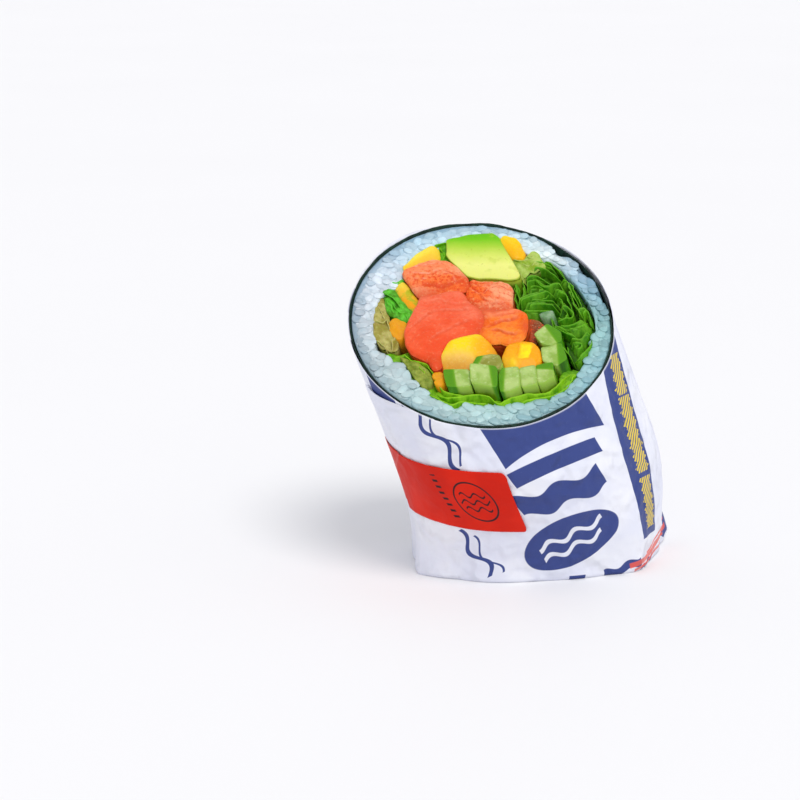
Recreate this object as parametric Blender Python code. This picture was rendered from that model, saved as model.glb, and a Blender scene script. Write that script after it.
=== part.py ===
"""One half of a sushi burrito: a thick rice and nori roll around raw salmon, avocado, mango,
cucumber and lettuce, wrapped in printed paper, cut on the slant and standing on its folded end.

Every layer runs down the roll. The cut face is laid out in its own plan coordinates: u to the
right and v to the back, both from the middle of the face. The roll leans and bends on its way up,
so place() carries a point of that plan down the roll to any height. Units are metres; the layout
lists are in millimetres and are scaled once by MM.
"""

import math
import random

import bmesh
import bpy
from mathutils import Matrix, Vector, noise

MM = 0.001

# The roll and its slanted cut
FACE_RADIUS = 32.6
FACE_HEIGHT = 59.5
SLOPE_U = -0.0235
SLOPE_V = 0.591
LEAN = 0.366
BEND_HEIGHT = 36.0
BASE_BLEND = 30.0
BASE_NARROW_X = 0.10
BASE_NARROW_Y = 0.20
BASE_SHIFT_Y = 2.5
FRAME_SHIFT = (7.0, 0.27)

# Layers, from the outside in
PAPER = 0.5
GAP = 0.3
NORI = 0.4
PAPER_FLOOR = 0.9
CONTENTS_BOTTOM = 2.4
LEVELS = (CONTENTS_BOTTOM, 14.0, 26.0, BEND_HEIGHT)
SKIN_LEVELS = (0.0, 0.8, 4.0, 9.0, 14.0, 20.0, 26.0, BEND_HEIGHT)
TURNS = 54

# The folded paper end: (angle in degrees, radius) round the foot, and its two stiff corners
FOOT_RADII = (
    (0, 30.6), (40, 31.0), (90, 28.0), (140, 31.6), (180, 31.8), (205, 32.6),
    (236, 31.6), (269, 26.4), (305, 26.6), (321, 29.6), (339, 28.9), (350, 29.3),
)
EAR_ANGLE, EAR_REACH, EAR_SPREAD, EAR_HEIGHT = 16.0, 4.4, 7.0, 15.0
CORNER_ANGLE, CORNER_REACH, CORNER_SPREAD, CORNER_HEIGHT = 215.0, 4.6, 15.0, 24.0
FOOT_ROUND = 0.9

# The loose outer edge of the paper, on the left
SEAM_ANGLE = 207.0
SEAM_STEP = 0.5
SEAM_DROP = 1.0
SEAM_FADE = 55.0

# Rice: inner edge of the layer as (angle in degrees, radius), and the cooked grain
RICE_INNER = (
    (0, 28.7), (12, 28.0), (22, 27.2), (31, 28.0), (41, 27.6), (47, 28.0), (53, 27.0), (58, 24.8),
    (66, 26.2), (75, 27.5), (85, 27.8), (94, 27.3), (104, 26.6), (113, 26.1), (125, 25.9),
    (137, 25.2), (147, 24.6), (156, 25.4), (168, 25.9), (176, 26.4), (192, 27.4), (202, 27.2),
    (213, 25.4), (223, 25.4), (235, 26.0), (244, 27.4), (251, 28.0), (258, 27.2), (268, 26.6),
    (279, 26.8), (290, 27.2), (300, 28.0), (310, 28.9), (319, 28.8), (329, 28.4), (339, 28.8),
    (349, 28.9),
)
GRAIN_LENGTH, GRAIN_WIDTH = 5.4, 2.5
GRAIN_COUNT = 100
GRAIN_SIDES, GRAIN_RINGS = 5, 4
RICE_SINK = 0.7
RICE_TURNS = 60

# Fillings: name, kind, lift of the top's rim over the cut, dome in its middle, plan outline
FILLINGS = (
    ("avocado", "avocado", 1.0, 0.3, (
        (-7.0, 24.2), (-1.8, 26.3), (4.2, 27.0), (5.9, 25.2), (10.4, 13.0), (8.3, 12.0),
        (0.5, 11.6), (-2.0, 12.6), (-4.5, 15.6), (-7.1, 18.9))),
    ("salmon_back", "salmon", 1.3, 1.2, (
        (-18.1, 13.1), (-14.5, 15.2), (-10.0, 16.7), (-7.4, 16.2), (-5.0, 14.7), (-3.0, 11.4),
        (-2.8, 8.0), (-8.2, 7.2), (-10.2, 5.7), (-13.7, 5.7), (-16.1, 7.9))),
    ("salmon_right", "salmon", 1.2, 1.6, (
        (-1.8, 10.7), (2.9, 10.6), (5.5, 10.0), (8.0, 8.0), (8.0, 4.0), (7.3, 1.6), (4.5, 0.8),
        (1.2, 1.3), (-1.9, 4.1), (-2.1, 6.9))),
    ("salmon_front", "salmon", 1.4, 2.0, (
        (-13.9, 5.0), (-10.0, 5.0), (-7.6, 6.4), (-4.2, 6.4), (-2.6, 3.4), (0.6, 0.4),
        (1.2, -2.8), (-0.6, -6.2), (-4.6, -7.4), (-8.0, -9.8), (-9.4, -13.0), (-9.5, -16.2),
        (-10.5, -17.0), (-12.3, -14.4), (-16.2, -12.2), (-17.6, -9.4), (-17.4, -5.6),
        (-15.4, -0.4))),
    ("salmon_tip", "salmon", 1.6, 1.0, (
        (1.4, 0.6), (4.5, 0.1), (7.5, 0.9), (9.9, 0.5), (11.4, -0.6), (11.4, -4.8), (9.8, -7.1),
        (7.2, -8.6), (4.8, -8.0), (2.4, -8.0), (0.3, -6.2), (1.9, -3.0))),
    ("salmon_side", "salmon", -0.4, 0.5, (
        (12.0, 0.8), (14.1, 0.6), (15.6, -1.7), (14.9, -3.8), (13.3, -5.4), (12.0, -5.3))),
    ("mango_front", "mango", 2.2, 0.9, (
        (-8.7, -13.6), (-7.0, -10.4), (-4.3, -8.3), (-0.6, -7.2), (2.0, -9.0), (3.3, -11.2),
        (2.4, -12.2), (-1.2, -13.1), (-2.2, -16.6), (-4.8, -17.4), (-7.4, -17.2),
        (-8.7, -16.2))),
    ("mango_right", "mango", 1.9, 0.9, (
        (5.7, -13.4), (6.7, -10.9), (8.6, -9.4), (10.6, -8.7), (12.5, -9.1), (13.9, -11.0),
        (14.4, -13.2), (13.2, -15.0), (10.1, -16.3), (7.2, -16.6), (6.1, -16.0))),
    ("mango_back", "mango", 0.8, 0.4, (
        (-18.3, 15.3), (-15.3, 20.0), (-11.7, 22.7), (-9.8, 21.6), (-9.6, 19.2), (-12.8, 17.5),
        (-16.3, 15.3))),
    ("mango_corner", "mango", 1.2, 0.5, (
        (6.6, 24.5), (7.9, 25.1), (10.1, 23.8), (11.1, 21.1), (11.6, 18.8), (9.2, 18.8))),
    ("mango_left", "mango", 0.2, 0.5, (
        (-20.5, 8.8), (-19.3, 10.2), (-17.5, 9.4), (-16.4, 6.9), (-15.3, 4.3), (-15.9, 2.5),
        (-17.4, 3.7))),
    ("mango_small", "mango", -0.4, 0.4, (
        (-22.0, -1.6), (-20.3, -0.5), (-18.5, -2.0), (-18.7, -5.2), (-20.4, -6.2),
        (-21.8, -4.4))),
    ("mango_sliver", "mango", 0.4, 0.2, (
        (-11.0, -18.2), (-9.0, -18.0), (-8.9, -20.4), (-10.4, -20.6))),
    ("cucumber_a", "cucumber", 1.8, 0.2, (
        (-8.4, -18.2), (-2.9, -18.2), (-2.3, -18.8), (-2.4, -22.3), (-4.7, -22.9),
        (-7.8, -22.7))),
    ("cucumber_b", "cucumber", 2.6, 0.2, (
        (-1.7, -17.5), (3.9, -17.7), (4.2, -18.4), (3.9, -23.3), (-1.6, -22.6))),
    ("cucumber_c", "cucumber", 2.0, 0.2, (
        (4.8, -19.6), (5.6, -17.8), (9.2, -17.3), (9.3, -22.4), (6.9, -23.8), (4.9, -23.9))),
    ("cucumber_d", "cucumber", 1.9, 0.2, (
        (9.8, -17.3), (13.2, -16.5), (13.3, -21.4), (10.0, -22.4))),
    ("cucumber_e", "cucumber", 1.9, 0.2, (
        (13.8, -16.3), (17.5, -15.6), (17.6, -19.4), (15.1, -20.8), (13.9, -21.0))),
    ("cucumber_f", "cucumber", 1.9, 0.2, (
        (-1.2, -15.6), (-0.3, -13.9), (2.9, -13.1), (4.6, -13.3), (5.2, -15.4), (4.6, -16.9),
        (-0.9, -16.7))),
    ("cucumber_g", "cucumber", 1.6, 0.3, (
        (13.8, -6.6), (16.9, -3.3), (19.7, -5.2), (19.7, -7.6), (17.4, -9.1), (15.2, -8.8))),
    ("cucumber_h", "cucumber", 1.4, 0.2, (
        (15.2, -10.6), (16.9, -10.2), (19.6, -8.8), (20.7, -13.0), (18.5, -15.0),
        (15.4, -14.2))),
    ("leaf_bright", "lettuce", 1.0, 0.2, (
        (-23.2, 8.4), (-21.3, 8.2), (-18.2, 2.9), (-16.6, 1.6), (-17.7, -0.7), (-20.2, 0.5),
        (-22.4, 2.0))),
    ("leaf_back", "lettuce", 0.6, 0.2, (
        (-9.2, 23.1), (-7.6, 23.9), (-7.5, 19.4), (-8.0, 17.5), (-9.0, 17.6))),
    ("leaf_side", "lettuce", 0.8, 0.3, (
        (12.2, 20.6), (14.9, 21.2), (16.0, 20.4), (13.6, 18.6), (12.0, 17.6), (11.9, 18.6))),
    ("leaf_pale", "lettuce", -0.2, 0.2, (
        (-25.9, -1.0), (-25.2, 4.4), (-24.2, 6.6), (-23.6, 3.0), (-22.4, -4.6), (-20.9, -6.9),
        (-20.8, -9.6), (-24.0, -8.8), (-25.8, -5.7))),
)
STAR_CORES = {"salmon_front": (-9.4, -3.5), "mango_front": (-4.6, -12.0)}

# Chopped lettuce: the heap's plan outline and the leaves that stand in it
HEAP = (
    (10.9, 12.4), (12.3, 17.2), (13.8, 18.2), (16.5, 20.2), (19.4, 19.0), (20.6, 16.6),
    (23.6, 13.1), (25.1, 9.6), (27.0, 5.0), (27.9, 0.4), (27.3, -5.9), (25.7, -9.8),
    (23.4, -12.6), (21.6, -12.2), (20.4, -8.4), (20.4, -4.6), (17.0, -2.1), (14.8, 1.2),
    (8.7, 2.2), (8.8, 8.6),
)
HEAP_SINK = 1.4
HEAP_LEAVES = (
    (26.6, -24, 26), (24.6, -24, 44), (22.6, -16, 50), (20.4, -6, 54), (18.0, 2, 56),
    (15.6, 6, 54), (13.2, 10, 48),
)
LEAF_THICK = 0.8
LEAF_STEP = 5.5
LEAF_RISE = 2.4

# The leaf that lines the rice along the front
LINING_PATH = (
    (-20.9, -11.3), (-18.0, -14.0), (-14.8, -17.6), (-12.2, -21.3), (-9.4, -24.2), (-4.6, -24.7),
    (0.0, -24.9), (4.3, -25.2), (9.0, -25.0), (13.2, -23.3), (17.2, -21.3), (20.2, -17.9),
    (21.9, -15.4),
)
LINING_THICK = 0.6
LINING_WAVE = 0.22
LINING_SAMPLES = 31
LINING_LIFT = 1.7

# The round-cornered label that holds the paper shut
LABEL_FROM, LABEL_TO = 196.0, 270.5
LABEL_LOW, LABEL_HIGH = (17.0, 13.6), (32.6, 29.4)
LABEL_THICK = 0.25
LABEL_CORNER = 1.6
LABEL_COLUMNS, LABEL_ROWS = 18, 3

COLOURS = {
    "paper": ((0.86, 0.86, 0.90), 0.55),
    "label": ((0.82, 0.06, 0.03), 0.45),
    "nori": ((0.015, 0.045, 0.035), 0.5),
    "rice": ((0.72, 0.78, 0.82), 0.35),
    "salmon": ((0.88, 0.20, 0.09), 0.3),
    "avocado": ((0.72, 0.80, 0.25), 0.4),
    "mango": ((0.95, 0.52, 0.04), 0.3),
    "cucumber": ((0.42, 0.60, 0.18), 0.3),
    "lettuce": ((0.10, 0.36, 0.03), 0.4),
}


def clear_scene():
    for old in list(bpy.data.objects):
        bpy.data.objects.remove(old, do_unlink=True)


def material(kind):
    found = bpy.data.materials.get(kind)
    if found:
        return found
    colour, roughness = COLOURS[kind]
    made = bpy.data.materials.new(kind)
    made.use_nodes = True
    shader = made.node_tree.nodes["Principled BSDF"]
    shader.inputs["Base Color"].default_value = (*colour, 1.0)
    shader.inputs["Roughness"].default_value = roughness
    shader.inputs["Metallic"].default_value = 0.0
    return made


def smoothstep(t):
    t = min(1.0, max(0.0, t))
    return t * t * (3 - 2 * t)


def periodic(pairs, angle):
    """Smooth value at an angle in degrees, from (angle, value) pairs that go once round."""
    angle = angle % 360
    count = len(pairs)
    index = max(i for i in range(count) if pairs[i][0] <= angle)
    spans = [pairs[(index + k) % count] for k in (-1, 0, 1, 2)]
    start, end = spans[1][0], spans[2][0]
    t = (angle - start) / ((end - start) % 360)
    a, b, c, d = (pair[1] for pair in spans)
    return b + 0.5 * t * (c - a + t * (2 * a - 5 * b + 4 * c - d + t * (3 * (b - c) + d - a)))


def axis_x(z):
    """Sideways place of the roll's middle at a height: upright at the foot, leaning above."""
    t = min(z / BEND_HEIGHT, 1.0)
    return -LEAN * (BEND_HEIGHT * (t**3 - t**4 / 2) + max(z - BEND_HEIGHT, 0.0))


def cut_height(u, v):
    return FACE_HEIGHT + SLOPE_U * u + SLOPE_V * v


def section(u, v):
    """Plan point of the face as a point of the roll's level cross-section."""
    return u + LEAN * (SLOPE_U * u + SLOPE_V * v), v


def foot_share(z):
    return 1 - smoothstep(z / BASE_BLEND)


def to_world(x, y, z):
    return Vector(((x + FRAME_SHIFT[0]) * MM, (y + FRAME_SHIFT[1]) * MM, z * MM))


def place(u, v, z):
    """Point of the contents that shows at (u, v) on the cut, followed down the roll to height z."""
    x, y = section(u, v)
    share = foot_share(z)
    x *= 1 - BASE_NARROW_X * share
    y = y * (1 - BASE_NARROW_Y * share) + BASE_SHIFT_Y * share
    return to_world(x + axis_x(z), y, z)


def bump(angle, centre, reach, spread):
    off = (angle - centre + 180) % 360 - 180
    return reach * math.exp(-((off / spread) ** 2))


def seam_share(angle):
    """1 at the paper's loose edge, fading to 0 round the front, where the two layers lie close."""
    return 1 - smoothstep(((angle - SEAM_ANGLE) % 360) / SEAM_FADE)


def skin(angle, z, out=0.0):
    """Point of the paper's outer surface at an angle and height, moved out by a distance."""
    turn = math.radians(angle)
    radius = FACE_RADIUS + out + SEAM_STEP * seam_share(angle) * 0.5
    top = section(radius * math.cos(turn), radius * math.sin(turn))
    foot = periodic(FOOT_RADII, angle) + out
    foot += bump(angle, EAR_ANGLE, EAR_REACH, EAR_SPREAD) * max(0.0, 1 - z / EAR_HEIGHT)
    foot += bump(angle, CORNER_ANGLE, CORNER_REACH, CORNER_SPREAD) * max(0.0, 1 - z / CORNER_HEIGHT)
    foot -= FOOT_ROUND * max(0.0, 1 - z / SKIN_LEVELS[1])
    share = foot_share(z)
    x = top[0] * (1 - share) + foot * math.cos(turn) * share
    y = top[1] * (1 - share) + (foot * math.sin(turn) + BASE_SHIFT_Y) * share
    return to_world(x + axis_x(z), y, z)


def skin_top(angle):
    """Height of the paper's cut rim, a little lower where its loose edge is pulled down."""
    turn = math.radians(angle)
    cut = cut_height(FACE_RADIUS * math.cos(turn), FACE_RADIUS * math.sin(turn))
    ripple = 0.25 * noise.noise(Vector((math.cos(turn) * 4, math.sin(turn) * 4, 0)))
    return cut - 0.5 + ripple - SEAM_DROP * seam_share(angle)


def ring(bm, count, point):
    return [bm.verts.new(point(360 * i / count)) for i in range(count)]


def bridge(bm, low, high):
    """Quads between two rings of as many points."""
    count = len(low)
    for i in range(count):
        j = (i + 1) % count
        bm.faces.new((low[i], low[j], high[j], high[i]))


def loft(bm, rings):
    for low, high in zip(rings, rings[1:]):
        bridge(bm, low, high)


def finish(name, kind, bm, smooth=40):
    bmesh.ops.recalc_face_normals(bm, faces=bm.faces)
    mesh = bpy.data.meshes.new(name)
    bm.to_mesh(mesh)
    bm.free()
    made = bpy.data.objects.new(name, mesh)
    made.data.materials.append(material(kind))
    mesh.shade_smooth()
    mesh.set_sharp_from_angle(angle=math.radians(smooth))
    PARTS.objects.link(made)
    return made


def make_wrapper():
    """A paper cup: outer skin up to the cut rim, inner skin back down, and a folded floor."""
    bm = bmesh.new()

    def inner(angle, z):
        turn = math.radians(angle)
        radius = FACE_RADIUS - PAPER
        return place(radius * math.cos(turn), radius * math.sin(turn), z)

    outside = [ring(bm, TURNS, lambda a, z=z: skin(a, z)) for z in SKIN_LEVELS]
    outside.append(ring(bm, TURNS, lambda a: skin(a, skin_top(a))))
    inside = [ring(bm, TURNS, lambda a: inner(a, skin_top(a)))]
    inside += [ring(bm, TURNS, lambda a, z=z: inner(a, z)) for z in reversed(LEVELS[1:])]
    inside.append(ring(bm, TURNS, lambda a: inner(a, PAPER_FLOOR)))
    loft(bm, outside + inside)
    bm.faces.new(outside[0])
    bm.faces.new(inside[-1])
    return finish("wrapper", "paper", bm)


def make_tube(name, kind, outer_radius, inner_radius, lift):
    """A layer of even thickness all round the roll, open at both ends."""
    bm = bmesh.new()

    def point(radius, angle, z=None):
        turn = math.radians(angle)
        u, v = radius * math.cos(turn), radius * math.sin(turn)
        return place(u, v, cut_height(u, v) + lift if z is None else z)

    rings = [ring(bm, TURNS, lambda a, z=z: point(outer_radius, a, z)) for z in LEVELS]
    rings.append(ring(bm, TURNS, lambda a: point(outer_radius, a)))
    rings.append(ring(bm, TURNS, lambda a: point(inner_radius, a)))
    rings += [ring(bm, TURNS, lambda a, z=z: point(inner_radius, a, z)) for z in reversed(LEVELS)]
    loft(bm, rings + rings[:1])
    return finish(name, kind, bm)


def rounded(corners, share=0.3):
    """Outline with each corner replaced by two points on its edges, so that it reads as round."""
    made = []
    count = len(corners)
    for i, (u, v) in enumerate(corners):
        before, after = corners[i - 1], corners[(i + 1) % count]
        made.append((u + (before[0] - u) * share, v + (before[1] - v) * share))
        made.append((u + (after[0] - u) * share, v + (after[1] - v) * share))
    return made


def add_prism(bm, outline, lift, dome, core=None, levels=LEVELS):
    """A piece that runs down the roll under its plan outline, with a rounded, domed top."""
    area_middle = core or tuple(sum(axis) / len(outline) for axis in zip(*outline))
    raise_to = lift if callable(lift) else (lambda u, v: lift)

    def around(shrink, rise):
        points = []
        for u, v in outline:
            u += (area_middle[0] - u) * shrink
            v += (area_middle[1] - v) * shrink
            points.append(bm.verts.new(place(u, v, cut_height(u, v) + raise_to(u, v) + rise)))
        return points

    rings = [[bm.verts.new(place(u, v, z)) for u, v in outline] for z in levels]
    rings.append(around(0.0, -0.5 if dome else 0.0))
    if dome:
        rings.append(around(0.09, 0.0))
        rings.append(around(0.5, dome))
    loft(bm, rings)
    bm.faces.new(rings[0])
    bm.faces.new(rings[-1])


def make_fillings():
    for name, kind, lift, dome, corners in FILLINGS:
        bm = bmesh.new()
        core = STAR_CORES.get(name)
        add_prism(bm, rounded(corners, 0.22), lift, dome, core)
        finish(name, kind, bm, 50)


def inside_outline(point, outline, margin):
    """True if a plan point lies in the outline, at least the margin from its edge."""
    u, v = point
    crossings = 0
    for (u0, v0), (u1, v1) in zip(outline, outline[1:] + outline[:1]):
        if (v0 > v) != (v1 > v) and u < u0 + (v - v0) / (v1 - v0) * (u1 - u0):
            crossings += 1
        along = Vector((u1 - u0, v1 - v0))
        offset = Vector((u - u0, v - v0))
        share = min(1.0, max(0.0, offset.dot(along) / along.length_squared))
        if (offset - along * share).length < margin:
            return False
    return crossings % 2 == 1


def band(path, thick):
    """Closed outline of a strip of even thickness along an open path."""
    left, right = [], []
    for i, (u, v) in enumerate(path):
        before, after = path[max(i - 1, 0)], path[min(i + 1, len(path) - 1)]
        along = Vector((after[0] - before[0], after[1] - before[1])).normalized()
        left.append((u - along.y * thick / 2, v + along.x * thick / 2))
        right.append((u + along.y * thick / 2, v - along.x * thick / 2))
    return left + right[::-1]


def heap_leaf(radius, start, end, number):
    """Plan path of one leaf of the heap: an arc with a ruffle, kept inside the heap."""
    path = []
    steps = round(math.radians(end - start) * radius / (LEAF_STEP * 0.5))
    for i in range(steps + 1):
        angle = start + (end - start) * i / steps
        reach = radius + 0.45 * math.sin(angle * 0.35 + number * 2.1)
        point = (reach * math.cos(math.radians(angle)), reach * math.sin(math.radians(angle)))
        if inside_outline(point, HEAP, LEAF_THICK * 0.5 + 0.1):
            path.append(point)
    return path


def join(base, pieces):
    """Fuses the pieces to the base with one Boolean union, then removes them."""
    cutters = bpy.data.collections.new(base.name + "_pieces")
    bpy.context.scene.collection.children.link(cutters)
    for piece in pieces:
        PARTS.objects.unlink(piece)
        cutters.objects.link(piece)
    union = base.modifiers.new("fuse", "BOOLEAN")
    union.operation = "UNION"
    union.operand_type = "COLLECTION"
    union.collection = cutters
    union.solver = "MANIFOLD"
    graph = bpy.context.evaluated_depsgraph_get()
    fused = bpy.data.meshes.new_from_object(base.evaluated_get(graph))
    base.modifiers.clear()
    base.data = fused
    for piece in pieces:
        bpy.data.objects.remove(piece, do_unlink=True)
    bpy.data.collections.remove(cutters)


def make_heap():
    """Chopped lettuce: a sunken core with ruffled leaves standing in it."""
    bm = bmesh.new()
    add_prism(bm, rounded(HEAP, 0.22), -HEAP_SINK, 0.0)
    core = finish("lettuce_heap", "lettuce", bm)
    leaves = []
    for number, (radius, start, end) in enumerate(HEAP_LEAVES):
        path = heap_leaf(radius, start, end, number)
        bm = bmesh.new()

        def rise(u, v, number=number):
            return LEAF_RISE * (0.55 + 0.45 * math.sin(u * 0.9 + v * 0.7 + number * 1.7))

        foot = [bm.verts.new(place(u, v, cut_height(u, v) - 4)) for u, v in band(path, LEAF_THICK)]
        head = [
            bm.verts.new(place(u, v, cut_height(u, v) + rise(u, v)))
            for u, v in band(path, LEAF_THICK)
        ]
        bridge(bm, foot, head)
        half = len(foot) // 2
        for loop in (foot, head):
            for i in range(half - 1):
                bm.faces.new((loop[i], loop[i + 1], loop[-i - 2], loop[-i - 1]))
        leaves.append(finish(f"heap_leaf_{number}", "lettuce", bm))
    join(core, leaves)


def along_path(points, share):
    """Smooth point at a share of the way along an open path."""
    place_on = share * (len(points) - 1)
    index = min(int(place_on), len(points) - 2)
    t = place_on - index
    four = [points[min(max(index + k, 0), len(points) - 1)] for k in (-1, 0, 1, 2)]
    made = []
    for a, b, c, d in zip(*four):
        made.append(
            b + 0.5 * t * (c - a + t * (2 * a - 5 * b + 4 * c - d + t * (3 * (b - c) + d - a)))
        )
    return tuple(made)


def make_lining():
    """One leaf between the rice and the cucumber, ruffled along its cut edge."""
    path = []
    for i in range(LINING_SAMPLES):
        share = i / (LINING_SAMPLES - 1)
        u, v = along_path(LINING_PATH, share)
        reach = math.hypot(u, v)
        wave = LINING_WAVE * math.sin(share * 44)
        path.append((u * (1 + wave / reach), v * (1 + wave / reach)))
    outline = band(path, LINING_THICK)
    bm = bmesh.new()

    def height(u, v):
        return cut_height(u, v) + LINING_LIFT + 0.6 * math.sin(u * 1.1)

    rings = [[bm.verts.new(place(u, v, z)) for u, v in outline] for z in LEVELS]
    rings.append([bm.verts.new(place(u, v, height(u, v))) for u, v in outline])
    loft(bm, rings)
    half = len(outline) // 2
    for loop in (rings[0], rings[-1]):
        for i in range(half - 1):
            bm.faces.new((loop[i], loop[i + 1], loop[-i - 2], loop[-i - 1]))
    finish("lettuce_lining", "lettuce", bm)


def rice_inner(angle):
    return periodic(RICE_INNER, angle)


def grain(u, v, rise, heading, tilt, size, number):
    """One cooked grain: a small faceted ellipsoid lying in the cut."""
    bm = bmesh.new()
    bmesh.ops.create_uvsphere(bm, u_segments=GRAIN_SIDES, v_segments=GRAIN_RINGS, radius=0.5)
    slant = Vector((-SLOPE_U, -SLOPE_V, 1)).to_track_quat("Z", "Y").to_matrix().to_4x4()
    turn = Matrix.Rotation(heading, 4, "Z") @ Matrix.Rotation(tilt, 4, "Y")
    stretch = Matrix.Diagonal(
        (GRAIN_LENGTH * size * MM, GRAIN_WIDTH * size * MM, GRAIN_WIDTH * size * MM, 1)
    )
    lie = Matrix.Rotation(math.pi / 2, 4, "Y")
    centre = Matrix.Translation(place(u, v, cut_height(u, v) + rise))
    bmesh.ops.transform(bm, matrix=centre @ slant @ turn @ stretch @ lie, verts=bm.verts)
    return finish(f"grain_{number}", "rice", bm)


def rice_grains(outer_radius):
    """Grains spread over the cut of the rice layer by a seeded draw, clear of its two edges."""
    draw = random.Random(7)
    placed = []
    grains = []
    for _ in range(GRAIN_COUNT * 60):
        if len(grains) == GRAIN_COUNT:
            break
        angle = draw.uniform(0, 360)
        low, high = rice_inner(angle), outer_radius
        wide = high - low
        loose = min(1.0, max(0.0, (wide - 3.4) / 3.0))
        heading = math.radians(angle + 90) + draw.uniform(-1.2, 1.2) * loose
        size = draw.uniform(0.84, 1.06)
        across = abs(math.cos(heading - math.radians(angle)))
        reach = 0.5 * size * (GRAIN_WIDTH + (GRAIN_LENGTH - GRAIN_WIDTH) * across) + 0.25
        if wide < 2 * reach:
            reach = wide / 2
            size = min(size, (wide - 0.3) / GRAIN_WIDTH)
        radius = draw.uniform(low + reach, high - reach)
        u, v = radius * math.cos(math.radians(angle)), radius * math.sin(math.radians(angle))
        if any(math.hypot(u - a, v - b) < 2.1 for a, b in placed):
            continue
        placed.append((u, v))
        rise = draw.uniform(-0.75, -0.05)
        tilt = draw.uniform(-0.25, 0.25)
        grains.append(grain(u, v, rise, heading, tilt, size, len(grains)))
    return grains


def make_rice():
    """The rice layer: an uneven ring down the roll, with the grains of the cut fused on."""
    outer_radius = FACE_RADIUS - PAPER - GAP - NORI - GAP
    bm = bmesh.new()

    def point(angle, share, z=None):
        turn = math.radians(angle)
        radius = rice_inner(angle) * (1 - share) + outer_radius * share
        u, v = radius * math.cos(turn), radius * math.sin(turn)
        return place(u, v, cut_height(u, v) - RICE_SINK if z is None else z)

    outside = [ring(bm, RICE_TURNS, lambda a, z=z: point(a, 1, z)) for z in LEVELS]
    top = [ring(bm, RICE_TURNS, lambda a, s=s: point(a, s)) for s in (1.0, 0.0)]
    inside = [ring(bm, RICE_TURNS, lambda a, z=z: point(a, 0, z)) for z in reversed(LEVELS)]
    rings = outside + top + inside
    loft(bm, rings + rings[:1])
    core = finish("rice", "rice", bm)
    join(core, rice_grains(outer_radius))


def make_label():
    """A thin label on the paper, across the loose edge; its corners are rounded."""
    bm = bmesh.new()
    columns = []
    run = math.radians(LABEL_TO - LABEL_FROM) * FACE_RADIUS
    for i in range(LABEL_COLUMNS + 1):
        share = i / LABEL_COLUMNS
        angle = LABEL_FROM + (LABEL_TO - LABEL_FROM) * share
        into_corner = max(0.0, LABEL_CORNER - min(share, 1 - share) * run)
        cut = LABEL_CORNER - math.sqrt(LABEL_CORNER**2 - into_corner**2)
        low = LABEL_LOW[0] * (1 - share) + LABEL_LOW[1] * share + cut
        high = LABEL_HIGH[0] * (1 - share) + LABEL_HIGH[1] * share - cut
        heights = [low + (high - low) * step / LABEL_ROWS for step in range(LABEL_ROWS + 1)]
        under = [bm.verts.new(skin(angle, z, GAP)) for z in heights]
        over = [bm.verts.new(skin(angle, z, GAP + LABEL_THICK)) for z in reversed(heights)]
        columns.append(under + over)
    loft(bm, columns)
    bm.faces.new(columns[0])
    bm.faces.new(columns[-1])
    finish("label", "label", bm)


def build():
    make_wrapper()
    make_label()
    nori_out = FACE_RADIUS - PAPER - GAP
    make_tube("nori", "nori", nori_out, nori_out - NORI, 0.0)
    make_rice()
    make_fillings()
    make_heap()
    make_lining()


clear_scene()
PARTS = bpy.data.collections.new("sushi_burrito")
bpy.context.scene.collection.children.link(PARTS)
build()
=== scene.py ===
"""Looks of the sushi burrito half: paper, label, seaweed, rice grains and the cut fillings.

Points of the food are given in the plan of the slanted cut, as in the part's source: u to the
right, v to the back, both in millimetres from the middle, and h, the height over the cut.
"""

import math
import random

import bpy
import numpy as np
from mathutils import Matrix, Vector, noise
from mathutils.geometry import delaunay_2d_cdt

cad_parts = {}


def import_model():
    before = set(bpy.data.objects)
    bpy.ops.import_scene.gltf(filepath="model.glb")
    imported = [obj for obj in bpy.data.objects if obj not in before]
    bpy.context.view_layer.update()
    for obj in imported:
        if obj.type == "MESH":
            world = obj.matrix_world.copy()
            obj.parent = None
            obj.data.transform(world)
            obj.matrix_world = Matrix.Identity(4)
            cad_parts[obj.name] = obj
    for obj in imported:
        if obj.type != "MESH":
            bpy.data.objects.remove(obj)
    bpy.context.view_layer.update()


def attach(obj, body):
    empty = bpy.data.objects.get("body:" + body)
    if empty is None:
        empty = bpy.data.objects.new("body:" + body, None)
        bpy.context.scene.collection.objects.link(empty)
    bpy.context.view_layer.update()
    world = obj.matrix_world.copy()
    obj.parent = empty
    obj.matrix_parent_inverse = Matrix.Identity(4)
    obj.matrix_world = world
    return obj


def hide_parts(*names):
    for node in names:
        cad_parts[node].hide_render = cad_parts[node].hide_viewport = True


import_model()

MM = 0.001

# The roll, as in the part's source
FACE_RADIUS = 32.6
FACE_HEIGHT = 59.5
SLOPE_U = -0.0235
SLOPE_V = 0.591
LEAN = 0.366
BEND_HEIGHT = 36.0
BASE_BLEND = 30.0
BASE_NARROW_X = 0.10
BASE_NARROW_Y = 0.20
BASE_SHIFT_Y = 2.5
FRAME_SHIFT = (7.0, 0.27)
CAMERA_DOWN = 13
NORI_OUT, NORI_IN = 32.15, 31.8
BOTTOM = 2.4
# Heights at which the hidden sides have points, and the angles of what goes once round
LEVELS = (BOTTOM, 14.0, 26.0, BEND_HEIGHT)
DEGREES = np.arange(360.0)
TURN = np.radians(DEGREES)

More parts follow.
